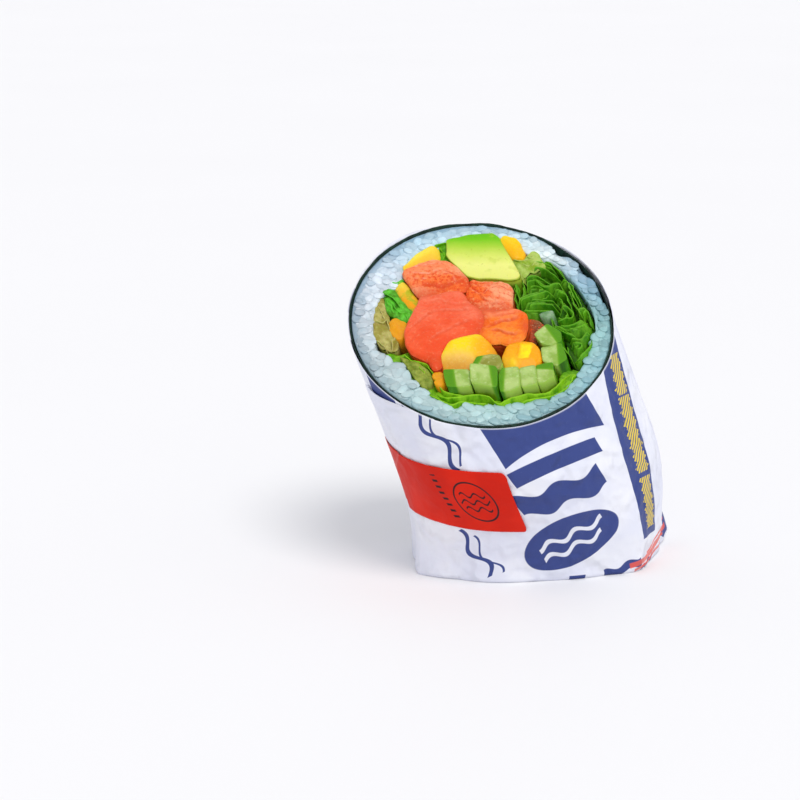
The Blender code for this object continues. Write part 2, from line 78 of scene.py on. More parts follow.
FOOT_RADII = (
    (0, 30.6), (40, 31.0), (90, 28.0), (140, 31.6), (180, 31.8), (205, 32.6),
    (236, 31.6), (269, 26.4), (305, 26.6), (321, 29.6), (339, 28.9), (350, 29.3),
)
RICE_INNER = (
    (0, 28.7), (12, 28.0), (22, 27.2), (31, 28.0), (41, 27.6), (47, 28.0), (53, 27.0), (58, 24.8),
    (66, 26.2), (75, 27.5), (85, 27.8), (94, 27.3), (104, 26.6), (113, 26.1), (125, 25.9),
    (137, 25.2), (147, 24.6), (156, 25.4), (168, 25.9), (176, 26.4), (192, 27.4), (202, 27.2),
    (213, 25.4), (223, 25.4), (235, 26.0), (244, 27.4), (251, 28.0), (258, 27.2), (268, 26.6),
    (279, 26.8), (290, 27.2), (300, 28.0), (310, 28.9), (319, 28.8), (329, 28.4), (339, 28.8),
    (349, 28.9),
)
FILLINGS = {
    "avocado": (1.5, 0.2, (
        (-7.0, 23.6), (-1.8, 25.7), (4.2, 26.4), (5.9, 24.6), (10.6, 12.6), (9.9, 11.8),
        (0.5, 11.6), (-2.0, 12.6), (-4.5, 15.6), (-7.1, 18.9))),
    "salmon_back": (1.3, 0.8, (
        (-18.1, 13.1), (-14.5, 15.2), (-10.0, 16.7), (-7.4, 16.2), (-5.0, 14.7), (-3.0, 11.4),
        (-2.8, 8.0), (-8.2, 7.2), (-10.2, 5.7), (-13.7, 5.7), (-16.1, 7.9))),
    "salmon_right": (1.2, 0.9, (
        (-1.8, 10.8), (2.9, 11.3), (5.9, 11.0), (8.2, 9.0), (8.1, 4.0), (7.3, 1.6), (4.5, 0.8),
        (1.2, 1.3), (-1.9, 4.1), (-2.1, 6.9))),
    "salmon_front": (1.4, 0.9, (
        (-13.9, 5.0), (-10.0, 5.0), (-7.6, 6.4), (-4.2, 6.4), (-2.6, 3.4), (0.6, 0.4),
        (1.2, -2.8), (-0.6, -6.2), (-4.6, -7.4), (-8.0, -9.8), (-9.4, -13.0), (-9.5, -16.2),
        (-10.5, -17.0), (-12.3, -14.4), (-16.2, -12.2), (-17.6, -9.4), (-17.4, -5.6),
        (-15.4, -0.4))),
    "salmon_tip": (1.6, 0.6, (
        (1.4, 0.6), (4.5, 0.1), (7.5, 0.9), (9.9, 0.5), (11.4, -0.6), (11.4, -4.8), (9.8, -7.1),
        (7.2, -8.6), (4.8, -8.0), (2.4, -8.0), (0.3, -6.2), (1.9, -3.0))),
    "salmon_side": (-0.4, 0.5, (
        (12.0, 0.8), (14.1, 0.6), (15.6, -1.7), (14.9, -3.8), (13.3, -5.4), (12.0, -5.3))),
    "mango_front": (2.3, 0.5, (
        (-8.7, -13.6), (-7.0, -10.4), (-4.3, -8.3), (-0.6, -7.2), (2.0, -9.0), (3.3, -11.2),
        (2.4, -12.2), (-1.2, -13.1), (-2.2, -16.6), (-4.8, -17.4), (-7.4, -17.2),
        (-8.7, -16.2))),
    "mango_right": (2.0, 0.5, (
        (5.7, -13.4), (6.7, -10.9), (8.6, -9.4), (10.6, -8.7), (12.5, -9.1), (13.9, -11.0),
        (14.4, -13.2), (13.2, -15.0), (10.1, -16.3), (7.2, -16.6), (6.1, -16.0))),
    "mango_back": (0.8, 0.4, (
        (-18.3, 15.3), (-15.3, 20.0), (-11.7, 22.7), (-9.8, 21.6), (-9.6, 19.2), (-12.8, 17.5),
        (-16.3, 15.3))),
    "mango_corner": (1.4, 0.5, (
        (6.4, 24.6), (7.6, 25.5), (9.9, 25.2), (11.0, 23.8), (11.3, 21.2), (11.6, 19.2), (9.4, 18.9),
        (8.6, 19.2), (7.2, 22.4))),
    "mango_left": (0.2, 0.5, (
        (-20.3, 8.9), (-19.2, 10.8), (-17.6, 10.0), (-16.2, 7.3), (-15.4, 5.0), (-15.6, 2.6),
        (-16.6, 2.6), (-17.8, 4.6))),
    "mango_small": (-0.4, 0.4, (
        (-22.0, -1.6), (-20.3, -0.5), (-18.5, -2.0), (-18.7, -5.2), (-20.4, -6.2),
        (-21.8, -4.4))),
    "mango_sliver": (0.4, 0.2, (
        (-11.0, -18.2), (-9.0, -18.0), (-8.9, -20.4), (-10.4, -20.6))),
    "cucumber_a": (1.8, 0.2, (
        (-8.4, -18.2), (-2.9, -18.2), (-2.3, -18.8), (-2.4, -22.3), (-4.7, -22.9),
        (-7.8, -22.7))),
    "cucumber_b": (2.6, 0.2, (
        (-1.7, -17.5), (3.9, -17.7), (4.2, -18.4), (3.9, -23.3), (-1.6, -22.6))),
    "cucumber_c": (2.0, 0.2, (
        (4.8, -19.6), (5.6, -17.8), (9.2, -17.3), (9.3, -22.4), (6.9, -23.8), (4.9, -23.9))),
    "cucumber_d": (1.9, 0.2, (
        (9.8, -17.3), (13.2, -16.5), (13.3, -21.4), (10.0, -22.4))),
    "cucumber_e": (1.9, 0.2, (
        (13.8, -16.3), (17.5, -15.6), (17.6, -19.4), (15.1, -20.8), (13.9, -21.0))),
    "cucumber_f": (1.7, 0.1, (
        (-1.2, -15.6), (-0.3, -13.9), (2.9, -13.1), (4.6, -13.3), (5.2, -15.4), (4.6, -16.9),
        (-0.9, -16.7))),
    "cucumber_g": (1.6, 0.3, (
        (13.8, -6.6), (16.9, -3.3), (19.7, -5.2), (19.7, -7.6), (17.4, -9.1), (15.2, -8.8))),
    "cucumber_h": (1.4, 0.2, (
        (15.2, -10.6), (16.9, -10.2), (19.6, -8.8), (20.7, -13.0), (18.5, -15.0),
        (15.4, -14.2))),
    "leaf_bright": (0.2, 0.2, (
        (-23.2, 8.4), (-21.3, 8.2), (-18.2, 2.9), (-16.6, 1.6), (-17.7, -0.7), (-20.2, 0.5),
        (-22.4, 2.0))),
    "leaf_back": (0.3, 0.2, (
        (-9.2, 23.1), (-7.6, 23.9), (-7.5, 19.4), (-8.0, 17.5), (-9.0, 17.6))),
    "leaf_side": (0.5, 0.4, (
        (8.6, 19.7), (10.0, 19.2), (12.0, 19.3), (13.0, 20.3), (14.7, 21.3), (15.8, 19.8), (16.2, 17.5),
        (14.7, 17.0), (12.3, 15.2), (11.6, 13.4), (10.6, 14.6), (9.5, 17.3))),
    "leaf_pale": (-0.2, 0.2, (
        (-25.9, -1.0), (-25.2, 4.4), (-24.2, 6.6), (-23.6, 3.0), (-22.4, -4.6), (-20.9, -6.9),
        (-20.8, -9.6), (-24.0, -8.8), (-25.8, -5.7))),
}
# Where a cucumber stick keeps its green rind: direction in the plan, and how far in it starts
RINDS = {
    "cucumber_a": (-1.0, -0.1, 0.0), "cucumber_b": (1.0, 0.1, 0.25), "cucumber_c": (-1.0, 0.1, 0.15),
    "cucumber_d": (0.0, 1.0, 1.4), "cucumber_e": (0.1, 1.0, 0.10), "cucumber_f": (-1.0, 0.5, 0.4),
    "cucumber_g": (0.9, 0.5, 0.05), "cucumber_h": (1.0, 0.0, 0.10),
}
# Flat faces of the cut fruit, the first one on top: a point and the slopes to the right and back. The top
# face takes a bright colour as painted light, the second one its own colour as painted shade.
FACETS = {
    "mango_front": (
        ((-4.5, -11.0), (0.02, 0.05)), ((-3.0, -13.6), (0.02, 0.50)), ((-0.9, -11.0), (-0.42, 0.10)),
        ((-7.2, -12.2), (0.40, -0.12)), ((-3.0, -9.0), (0.1, -0.40)),
    ),
    "mango_right": (
        ((9.5, -12.0), (0.02, 0.0)), ((8.4, -13.4), (0.30, 0.34)), ((13.2, -12.0), (-0.50, 0.0)),
        ((9.5, -10.4), (0.08, -0.40)), ((7.4, -12.0), (0.50, -0.05)), ((11.0, -14.8), (0.0, 0.55)),
    ),
    "mango_back": (
        ((-14.0, 18.4), (0.12, -0.12)), ((-14.4, 17.6), (-0.20, 0.36)), ((-11.0, 20.6), (-0.4, 0.0)),
    ),
    "mango_corner": (
        ((8.6, 22.8), (0.0, -0.04)), ((8.2, 21.6), (0.15, 0.22)), ((10.2, 22.0), (-0.35, 0.05)),
    ),
    "mango_left": (
        ((-18.0, 8.0), (0.0, 0.08)), ((-17.2, 6.0), (-0.25, -0.1)), ((-18.6, 7.5), (0.3, 0.1)),
    ),
}
# How the tops lie: slopes to the right and to the back
TILTS = {
    "cucumber_a": (0.02, 0.04), "cucumber_b": (-0.06, 0.05), "cucumber_c": (0.02, 0.05),
    "cucumber_d": (0.04, 0.03), "cucumber_e": (0.05, 0.03), "cucumber_g": (-0.08, 0.03),
    "cucumber_h": (-0.06, 0.04), "salmon_front": (0.02, -0.02), "salmon_back": (0.02, 0.02),
    "salmon_tip": (0.03, 0.02), "salmon_right": (0.0, -0.08),
}
# Folds of the fish: width, step up on the right side of a line in the plan, paleness of the pale fat line
# with a painted highlight along the raised edge, the line
FOLDS = {
    "salmon_front": (
        (0.10, -0.48, 0.3, (
            (-17.4, -6.8), (-15.2, -4.3), (-12.4, -1.7), (-10.2, -0.2), (-6.9, 0.1), (-3.7, 0.2),
            (1.0, 1.2))),
        (0.10, -0.42, 0.25, ((-12.6, -11.0), (-10.3, -8.4), (-7.1, -6.0), (-3.8, -4.0), (0.2, -1.8))),
        (0.20, -0.40, 0.2, ((-12.8, 2.3), (-9.6, 3.6), (-6.4, 2.2), (-3.2, 2.4), (0.0, 3.6))),
    ),
    "salmon_back": (
        (0.16, -0.25, 1.0, ((-18.2, 11.8), (-15.6, 12.1), (-13.2, 11.6), (-10.1, 12.0), (-7.6, 14.2))),
        (0.12, -0.18, 0.9, ((-17.2, 13.7), (-13.4, 14.8), (-10.9, 15.2), (-7.4, 15.0))),
        (0.45, -0.9, 0.0, ((-14.8, 8.2), (-12.0, 9.2), (-8.6, 8.8), (-5.6, 9.8), (-2.6, 11.2))),
        (0.30, 0.45, 0.3, ((-8.8, 12.8), (-6.4, 11.8), (-4.8, 9.8), (-4.4, 8.2))),
        (0.14, -0.22, 0.6, ((-15.8, 10.6), (-13.6, 10.0), (-11.4, 10.3))),
    ),
    "salmon_right": (
        (0.22, 0.85, 0.4, ((-1.9, 8.4), (0.8, 5.3), (3.2, 6.4), (5.6, 8.0), (8.3, 7.5))),
        (0.16, -0.50, 0.4, ((0.4, 5.6), (2.5, 3.0), (4.5, 2.4), (7.8, 3.4))),
        (0.18, 0.65, 0.5, ((-1.4, 9.9), (1.2, 8.0), (3.0, 8.8), (5.4, 9.4))),
    ),
    "salmon_tip": (
        (0.12, -0.65, 0.3, ((1.4, -4.9), (5.2, -3.2), (8.7, -2.0), (11.8, -0.3))),
        (0.12, -0.5, 0.3, ((2.4, -5.4), (5.0, -5.4), (6.4, -6.2), (8.5, -6.6), (10.4, -5.9))),
        (0.18, -0.35, 0.2, ((3.0, -1.4), (6.4, -0.8), (10.2, 0.2))),
    ),
}
HEAP = (
    (10.9, 12.4), (12.3, 17.2), (13.8, 18.2), (16.5, 20.2), (19.4, 19.0), (20.6, 16.6),
    (23.6, 13.1), (25.1, 9.6), (27.0, 5.0), (27.9, 0.4), (27.3, -5.9), (25.7, -9.8),
    (23.4, -12.6), (21.6, -12.2), (20.4, -8.4), (20.4, -4.6), (17.0, -2.1), (14.8, 1.2),
    (8.7, 2.2), (8.8, 8.6),
)
# Folded leaves of the heap: height, outward flare, then the line of the top edge in the plan
LEAVES = (
    (0.9, 0.4, ((10.6, 15.2), (10.9, 12.8), (11.3, 10.4), (11.0, 8.6))),
    (0.8, -0.3, ((9.2, 12.4), (8.6, 9.8), (8.6, 6.8), (9.3, 4.2))),
    (1.0, 0.4, ((10.0, 13.0), (9.8, 10.4), (9.9, 7.8), (10.6, 6.0))),
    (1.6, 0.4, ((11.5, 11.4), (12.2, 13.3), (14.3, 14.0), (16.7, 12.5), (18.3, 11.3), (19.4, 12.3))),
    (1.9, 0.3, ((13.2, 15.4), (14.9, 16.4), (17.2, 15.8), (19.0, 14.2), (20.9, 13.4))),
    (1.5, 0.3, ((13.4, 17.6), (15.2, 18.7), (17.6, 18.0), (19.4, 16.2))),
    (2.0, 0.5, ((14.3, 13.4), (14.9, 11.5), (16.8, 10.0), (18.7, 11.0), (20.6, 11.1), (22.0, 9.6))),
    (1.8, 0.5, ((19.5, 12.9), (21.7, 12.7), (23.0, 11.2), (23.6, 8.7), (24.4, 6.2), (24.5, 4.1))),
    (2.1, 0.4, ((22.7, 10.2), (23.2, 7.4), (23.8, 4.4), (25.3, 2.0), (25.9, 0.5))),
    (1.9, 0.5, ((12.0, 8.6), (13.2, 10.2), (15.4, 10.3), (16.7, 9.1), (15.9, 7.8), (14.0, 7.1))),
    (2.3, 0.5, ((9.6, 3.5), (10.4, 5.2), (12.8, 6.5), (15.2, 7.5), (17.4, 8.5), (19.0, 8.2))),
    (2.2, 0.5, ((11.8, 5.4), (14.2, 5.6), (16.5, 5.4), (18.9, 5.3), (20.2, 4.3))),
    (2.3, 0.4, ((11.4, 3.1), (13.7, 4.0), (16.0, 4.1), (18.3, 3.9), (19.8, 2.9))),
    (1.9, 0.4, ((9.9, 2.9), (10.9, 2.5), (12.6, 2.3), (14.9, 2.3), (17.3, 2.4), (19.0, 2.0))),
    (2.4, 0.4, ((18.5, 7.9), (20.4, 8.0), (22.3, 6.8), (22.8, 4.3), (22.9, 1.6))),
    (2.2, 0.3, ((19.6, 6.6), (20.9, 5.3), (21.1, 3.7))),
    (2.5, -0.7, (
        (19.7, 2.0), (21.4, 2.9), (22.3, 2.2), (22.5, 0.9), (21.6, -0.3), (20.0, -0.6), (19.0, 0.4))),
    (2.0, 0.4, ((18.6, -1.6), (20.8, -2.4), (23.2, -1.7), (25.1, -0.2), (25.9, 0.8))),
    (1.9, 0.4, ((17.6, -2.0), (19.5, -3.4), (22.0, -4.9), (24.1, -5.2))),
    (2.1, 0.4, ((20.9, -3.3), (23.0, -3.2), (25.0, -2.3), (26.7, -1.0))),
    (1.9, 0.3, ((24.9, 0.7), (26.2, 2.8), (27.1, 1.6), (27.3, -0.3))),
    (1.8, 0.5, ((21.3, -5.6), (22.8, -6.0), (24.6, -6.2), (25.4, -4.8), (26.6, -3.0))),
    (1.8, -0.5, ((22.0, -7.8), (23.4, -7.4), (24.6, -8.0), (24.0, -9.2), (22.6, -9.3))),
    (1.7, 0.4, ((22.2, -11.4), (23.4, -11.8), (24.4, -10.8), (25.8, -9.0), (26.6, -7.4), (27.0, -5.0))),
    (1.8, 0.4, ((20.9, -8.8), (21.3, -10.4), (21.9, -11.8))),
    (1.6, 0.6, ((15.6, 0.8), (17.6, 0.4), (18.2, -1.4))),
    (1.4, 0.4, ((16.2, 19.4), (18.2, 18.6), (19.9, 16.9), (21.9, 14.6))),
)
# Leaves that stand in the small leaf pieces, as in the heap
BITS = {
    "leaf_bright": (
        (1.5, 0.9, ((-22.9, 8.2), (-21.6, 6.6), (-20.0, 4.6), (-18.4, 2.6))),
        (1.0, -0.4, ((-22.8, 6.0), (-22.6, 3.4), (-21.6, 1.2), (-20.4, 0.6))),
        (0.9, 0.3, ((-21.4, 4.6), (-20.2, 2.0), (-18.9, 1.0), (-17.9, 2.0))),
        (1.1, 0.3, ((-18.2, 1.4), (-17.5, -1.6), (-17.2, -4.4))),
        (0.9, 0.4, ((-22.0, 11.2), (-20.2, 10.8), (-18.6, 12.4))),
        (0.6, -0.3, ((-20.9, 9.9), (-19.4, 10.6), (-18.3, 11.4))),
    ),
    "leaf_back": (
        (1.0, 0.4, ((-9.6, 22.8), (-8.6, 22.0), (-8.2, 20.0), (-8.4, 18.0))),
        (0.9, 0.3, ((-11.6, 23.0), (-9.6, 23.8), (-7.6, 24.2), (-6.4, 23.9))),
    ),
    "leaf_side": (
        (1.1, 0.4, ((8.4, 19.3), (10.0, 18.9), (11.8, 18.8), (13.4, 20.2))),
        (1.3, 0.5, ((9.5, 17.4), (10.4, 15.8), (11.4, 14.2), (11.8, 12.6))),
        (1.2, -0.4, ((10.6, 18.0), (12.2, 16.6), (14.2, 17.0), (15.6, 18.8))),
        (1.4, 0.3, ((12.6, 20.4), (14.0, 19.2), (15.2, 20.0))),
    ),
    "leaf_pale": (
        (0.7, 0.4, ((-26.4, -3.0), (-25.6, -1.2), (-23.9, -2.0), (-22.6, -0.9), (-22.0, -4.2))),
        (0.6, 0.3, ((-20.6, -5.8), (-20.4, -8.0), (-21.4, -10.0))),
        (0.5, 0.3, ((-25.4, -6.8), (-23.8, -8.6), (-22.6, -10.0))),
        (0.6, -0.3, ((-25.2, 4.2), (-24.2, 1.4), (-23.4, -2.0))),
    ),
}
# The leaf along the front: height, flare, then the line of the top edge
LINING = (
    (0.9, 0.35, ((-12.2, -19.4), (-10.6, -22.4), (-8.4, -24.0), (-6.3, -24.1), (-3.0, -23.5), (-0.8, -23.3),
                 (1.5, -23.7), (2.8, -24.8), (3.9, -25.9), (4.9, -25.1), (6.7, -24.0), (8.8, -23.2),
                 (10.6, -22.6), (12.8, -22.7), (15.1, -22.3), (16.8, -21.1), (18.1, -19.4), (18.9, -17.2),
                 (20.3, -14.9), (21.6, -13.2))),
    (0.5, 0.5, ((6.0, -25.4), (8.7, -24.5), (11.5, -23.7), (13.7, -23.2), (16.0, -22.6), (17.9, -21.6),
                (19.7, -20.0), (21.1, -17.2), (22.3, -15.9), (22.9, -14.6), (24.0, -12.9))),
    (0.45, 0.4, ((-14.0, -20.9), (-11.6, -23.5), (-8.9, -25.3), (-7.2, -25.8), (-5.6, -25.0), (-3.0, -25.1),
                 (-0.7, -25.3), (1.5, -25.1), (3.4, -26.0))),
    (0.9, 0.3, ((-18.3, -10.6), (-15.5, -13.4), (-12.6, -14.9), (-11.4, -17.4), (-10.6, -20.2), (-8.8, -22.6),
                (-5.0, -23.5), (-1.0, -22.9))),
    (0.6, 0.4, ((-19.6, -9.8), (-17.0, -12.8), (-13.8, -16.0), (-12.2, -18.8))),
)
OLIVE = (
    (-20.0, -11.8), (-19.0, -13.4), (-15.6, -19.5), (-13.9, -21.6), (-12.0, -19.9), (-11.7, -18.3),
    (-12.6, -16.2), (-15.1, -13.8), (-17.7, -12.8),
)
PALE_STEM = ((14.6, 1.3), (16.4, 2.2), (18.4, 2.5), (18.5, 0.9), (17.6, 0.0), (15.2, 0.2))

# Colour of the rice round the roll, as (angle, colour), with painted light and shade: brightest at the back,
# darkest at the right
RICE_TINTS = (
    (0, (0.30, 0.53, 0.53)), (30, (0.34, 0.53, 0.66)), (52, (0.76, 0.88, 0.91)),
    (75, (0.60, 0.78, 0.86)), (125, (0.52, 0.71, 0.83)), (155, (0.68, 0.77, 0.86)),
    (200, (0.52, 0.61, 0.65)), (240, (0.46, 0.63, 0.64)), (270, (0.44, 0.64, 0.64)),
    (300, (0.32, 0.52, 0.54)), (330, (0.34, 0.58, 0.62)),
)
GRAIN_WIDTH, GRAIN_LENGTH = (2.5, 3.0), (4.5, 5.8)
# Height of the paper's edge against the cut
PAPER_RIM = (
    (0, -0.4), (20, 0.1), (42, 0.1), (60, -0.45), (90, -0.62), (105, -0.5), (118, -0.1), (135, 0.1),
    (150, -0.25), (180, -0.3), (205, -0.25), (225, -0.15), (245, -0.1), (262, -0.2), (275, -0.35),
    (290, -0.38), (305, -0.2), (320, -0.12), (340, -0.22),
)

# Stiff corners of the paper's foot: size, then middle and both widths in degrees, height and reach
FOOT_CORNERS = ((4.0, (16.0, 10.0, 8.0), 3.0, 10.0), (3.9, (214.0, 13.0, 17.0), 0.0, 24.0))
# Where the paper lies closer to the roll: angle, width and depth
PAPER_HOLLOWS = ((448, 34, 0.24), (548, 26, 0.12), (270, 30, 0.12))

# The paper: where its loose edge lies, and how far the wrap goes on under itself
SEAM = 207.0
OVERLAP = 42.0
PAPER_THICK, LABEL_THICK = 0.14, 0.1
STEP = 0.5
FADE, SEAM_REACH = 110.0, 300
EDGE_LEVEL = 44.0
LABEL_FROM, LABEL_TO = 196.0, 270.5
LABEL_LOW, LABEL_HIGH = (17.0, 13.6), (32.6, 29.4)
PER_DEGREE = math.radians(1) * FACE_RADIUS
NAVY = (0.034, 0.058, 0.235)
PRINT_START = 200
# The printed strip: angle and height of its middle, its turn, and how much it bends
STRIP = (335.3, 22.0, 90.0)
STRIP_BOW = 0.0049


def smoothstep(t):
    t = np.clip(t, 0.0, 1.0)
    return t * t * (3 - 2 * t)


def bell(x, at, wide):
    """1 at a place, falling off smoothly on both sides."""
    return np.exp(-(((x - at) / wide) ** 2))


def cubic(a, b, c, d, t):
    """Smooth value between b and c; a and d are the values beside them."""
    return b + 0.5 * t * (c - a + t * (2 * a - 5 * b + 4 * c - d + t * (3 * (b - c) + d - a)))


def periodic(pairs, angles):
    """Smooth values at angles in degrees, from (angle, value) pairs that go once round."""
    angles = np.asarray(angles, float) % 360
    marks, values = np.array(pairs, float).T
    index = np.searchsorted(marks, angles, side="right") - 1
    start, end = marks[index], marks[(index + 1) % len(marks)]
    near = [values[(index + k) % len(marks)] for k in (-1, 0, 1, 2)]
    return cubic(*near, (angles - start) / ((end - start) % 360))


def polar(radius, turn):
    """Plan points at radii and at angles in radians."""
    return np.column_stack([radius * np.cos(turn), radius * np.sin(turn)])


def axis_x(z):
    t = np.minimum(z / BEND_HEIGHT, 1.0)
    return -LEAN * (BEND_HEIGHT * (t**3 - t**4 / 2) + np.maximum(z - BEND_HEIGHT, 0.0))


def cut_height(u, v):
    return FACE_HEIGHT + SLOPE_U * u + SLOPE_V * v


def section(u, v):
    return u + LEAN * (SLOPE_U * u + SLOPE_V * v), v


def foot_share(z):
    return 1 - smoothstep(z / BASE_BLEND)


def world(x, y, z):
    return np.stack([x + FRAME_SHIFT[0], y + FRAME_SHIFT[1], z], -1) * MM


def place(u, v, z):
    """Points of the food that show at (u, v) on the cut, followed down the roll to height z."""
    u, v, z = np.broadcast_arrays(np.asarray(u, float), v, z)
    x, y = section(u, v)
    share = foot_share(z)
    x = x * (1 - BASE_NARROW_X * share)
    y = y * (1 - BASE_NARROW_Y * share) + BASE_SHIFT_Y * share
    return world(x + axis_x(z), y, z)


def on_cut(u, v, h):
    u, v, h = np.broadcast_arrays(np.asarray(u, float), v, h)
    return place(u, v, cut_height(u, v) + h)


def rough(points, scale, seed=0.0):
    """Smooth noise, about -1 to 1, at plan points, with hills about as wide as 1 / scale."""
    return np.array([noise.noise((u * scale + seed, v * scale - seed, seed)) for u, v in points])


def closed(loop):
    return np.vstack([loop, loop[:1]])


def spaced(line, count, endpoint=True):
    """Points evenly spaced along a line."""
    run = np.concatenate([[0], np.cumsum(np.linalg.norm(np.diff(line, axis=0), axis=1))])
    at = np.linspace(0, run[-1], count, endpoint=endpoint)
    return np.stack([np.interp(at, run, line[:, k]) for k in range(line.shape[1])], -1)


def smooth_path(points, count):
    """Points evenly spaced on a smooth curve through the given ones."""
    p = np.asarray(points, float)
    p = np.vstack([2 * p[0] - p[1], p, 2 * p[-1] - p[-2]])
    steps = np.linspace(0, 1, 12, endpoint=False)
    dense = [cubic(*p[i:i + 4], t) for i in range(len(p) - 3) for t in steps]
    return spaced(np.array(dense + [p[-2]]), count)


def smooth_loop(corners, count, share):
    """Evenly spaced points on a closed curve: a polygon with its corners cut three times."""
    p = np.asarray(corners, float)
    for cut in (share, 0.25, 0.25):
        before, after = np.roll(p, 1, 0), np.roll(p, -1, 0)
        p = np.stack([p + (before - p) * cut, p + (after - p) * cut], 1).reshape(-1, 2)
    return spaced(closed(p), count, endpoint=False)


def from_piece(points, a, b):
    """How plan points lie off a straight piece of line, and how far along it their feet are."""
    ab = b - a
    t = np.clip(((points - a) @ ab) / (ab @ ab), 0, 1)
    return points - a - t[:, None] * ab, t


def distance_to(points, line):
    """Distance of plan points from a polyline."""
    best = np.full(len(points), 1e9)
    for a, b in zip(line[:-1], line[1:]):
        best = np.minimum(best, np.linalg.norm(from_piece(points, a, b)[0], axis=1))
    return best


def add_mesh(name, verts, faces, mat, node, data, smooth=180):
    """A piece of the dressed part; data are values at its points, for its material."""
    mesh = bpy.data.meshes.new(name)
    mesh.from_pydata([tuple(v) for v in verts], [], faces)
    mesh.update()
    for key, values in data.items():
        kind, field = ("FLOAT_VECTOR", "vector") if np.ndim(values) == 2 else ("FLOAT", "value")
        store = mesh.attributes.new(key, kind, "POINT")
        store.data.foreach_set(field, np.ravel(values).astype(np.float32))
    mesh.shade_smooth()
    if smooth < 180:
        mesh.set_sharp_from_angle(angle=math.radians(smooth))
    mesh.materials.append(mat)
    obj = bpy.data.objects.new(name, mesh)
    bpy.context.scene.collection.objects.link(obj)
    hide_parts(node)
    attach(obj, "root")
    return obj


def thicken(sheet, thickness):
    """Gives a sheet its thickness in millimetres, inward."""
    thick = sheet.modifiers.new("thick", "SOLIDIFY")
    thick.thickness = thickness * MM
    thick.offset = -1


def grid_faces(rows, count, ring=True, joined=False):
    """Quads between rows of points; rows may be rings, and the last row may join the first."""
    faces = []
    for r in range(rows if joined else rows - 1):
        a, b = r * count, (r + 1) % rows * count
        for i in range(count if ring else count - 1):
            j = (i + 1) % count
            faces.append((a + i, a + j, b + j, b + i))
    return faces


class Shader:
    """Short calls for building a Principled material from nodes."""

    def __init__(self, name, roughness, **settings):
        self.material = bpy.data.materials.new(name)
        self.material.use_nodes = True
        self.tree = self.material.node_tree
        self.main = self.tree.nodes["Principled BSDF"]
        self.main.inputs["Roughness"].default_value = roughness
        for key, value in settings.items():
            self.main.inputs[key.replace("_", " ")].default_value = value

    def put(self, socket, value):
        """Links a socket to another one, or sets its constant."""
        if isinstance(value, bpy.types.NodeSocket):
            self.tree.links.new(value, socket)
        elif value is not None:
            socket.default_value = (*value, 1.0) if socket.type == "RGBA" else value

    def node(self, kind, **inputs):
        made = self.tree.nodes.new("ShaderNode" + kind)
        for key, value in inputs.items():
            self.put(made.inputs[key.replace("_", " ")], value)
        return made

    def value(self, name, output="Fac"):
        """A value that the mesh carries at its points."""
        node = self.node("Attribute")
        node.attribute_name = name
        return node.outputs[output]

    def data(self, name, axis):
        """One part of a vector that the mesh carries at its points."""
        return self.node("SeparateXYZ", Vector=self.value(name, "Vector")).outputs[axis]

    def noise(self, scale, detail=3.0, roughness=0.5, stretch=None):
        at = self.node("TexCoord").outputs["Object"]
        if stretch:
            at = self.node("Mapping", Scale=stretch, Vector=at).outputs[0]
        node = self.node("TexNoise", Scale=scale, Detail=detail, Roughness=roughness, Vector=at)
        return node.outputs["Fac"]

    def ramp(self, factor, *stops):
        """Colour for a factor; each stop is (place, colour)."""
        node = self.node("ValToRGB", Fac=factor)
        while len(node.color_ramp.elements) < len(stops):
            node.color_ramp.elements.new(0.5)
        for element, (at, colour) in zip(node.color_ramp.elements, stops):
            element.position = at
            element.color = (*colour, 1.0)
        return node.outputs["Color"]

    def span(self, value, low, high):
        """0 at low, 1 at high, smoothed and clamped."""
        node = self.node("MapRange", Value=value, From_Min=low, From_Max=high)
        node.interpolation_type = "SMOOTHSTEP"
        return node.outputs["Result"]

    def math(self, operation, a, b=None, c=None, clamp=False):
        node = self.node("Math")
        node.operation = operation
        node.use_clamp = clamp
        for socket, given in zip(node.inputs, (a, b, c)):
            self.put(socket, given)
        return node.outputs[0]

    def plus(self, a, b):
        return self.math("ADD", a, b)

    def minus(self, a, b):
        return self.math("SUBTRACT", a, b)

    def times(self, a, b):
        return self.math("MULTIPLY", a, b)

    def away(self, value, at):
        """How far a value lies from another."""
        return self.math("ABSOLUTE", self.minus(value, at))

    def length(self, a, b):
        return self.math("SQRT", self.plus(self.times(a, a), self.times(b, b)))

    def stir(self, value, noise_, size):
        """A value made to wander by a noise."""
        return self.plus(value, self.times(self.minus(noise_, 0.5), size))

    def mix(self, factor, a, b, blend="MIX"):
        node = self.node("Mix")
        node.data_type = "RGBA"
        node.blend_type = blend
        for index, value in ((0, factor), (6, a), (7, b)):
            self.put(node.inputs[index], value)
        return node.outputs[2]

    def glaze(self, mask, share, base, colour):
        """A colour laid over a base, by a share, where a mask is 1."""
        return self.mix(self.times(mask, share), base, colour)

    def colour(self, value):
        self.put(self.main.inputs["Base Color"], value)

    def bump(self, height, strength, distance):
        node = self.node("Bump", Strength=strength, Distance=distance, Height=height)
        self.tree.links.new(node.outputs[0], self.main.inputs["Normal"])


def moist(name, roughness, flesh, soak=0.25, coat=0.04, shine=0.14):
    """A wet food material, with light that soaks in a little."""
    return Shader(
        name, roughness, Subsurface_Weight=soak, Subsurface_Scale=0.0018, Subsurface_Radius=flesh,
        Coat_Weight=coat, Coat_Roughness=0.2, Specular_IOR_Level=shine,
    )


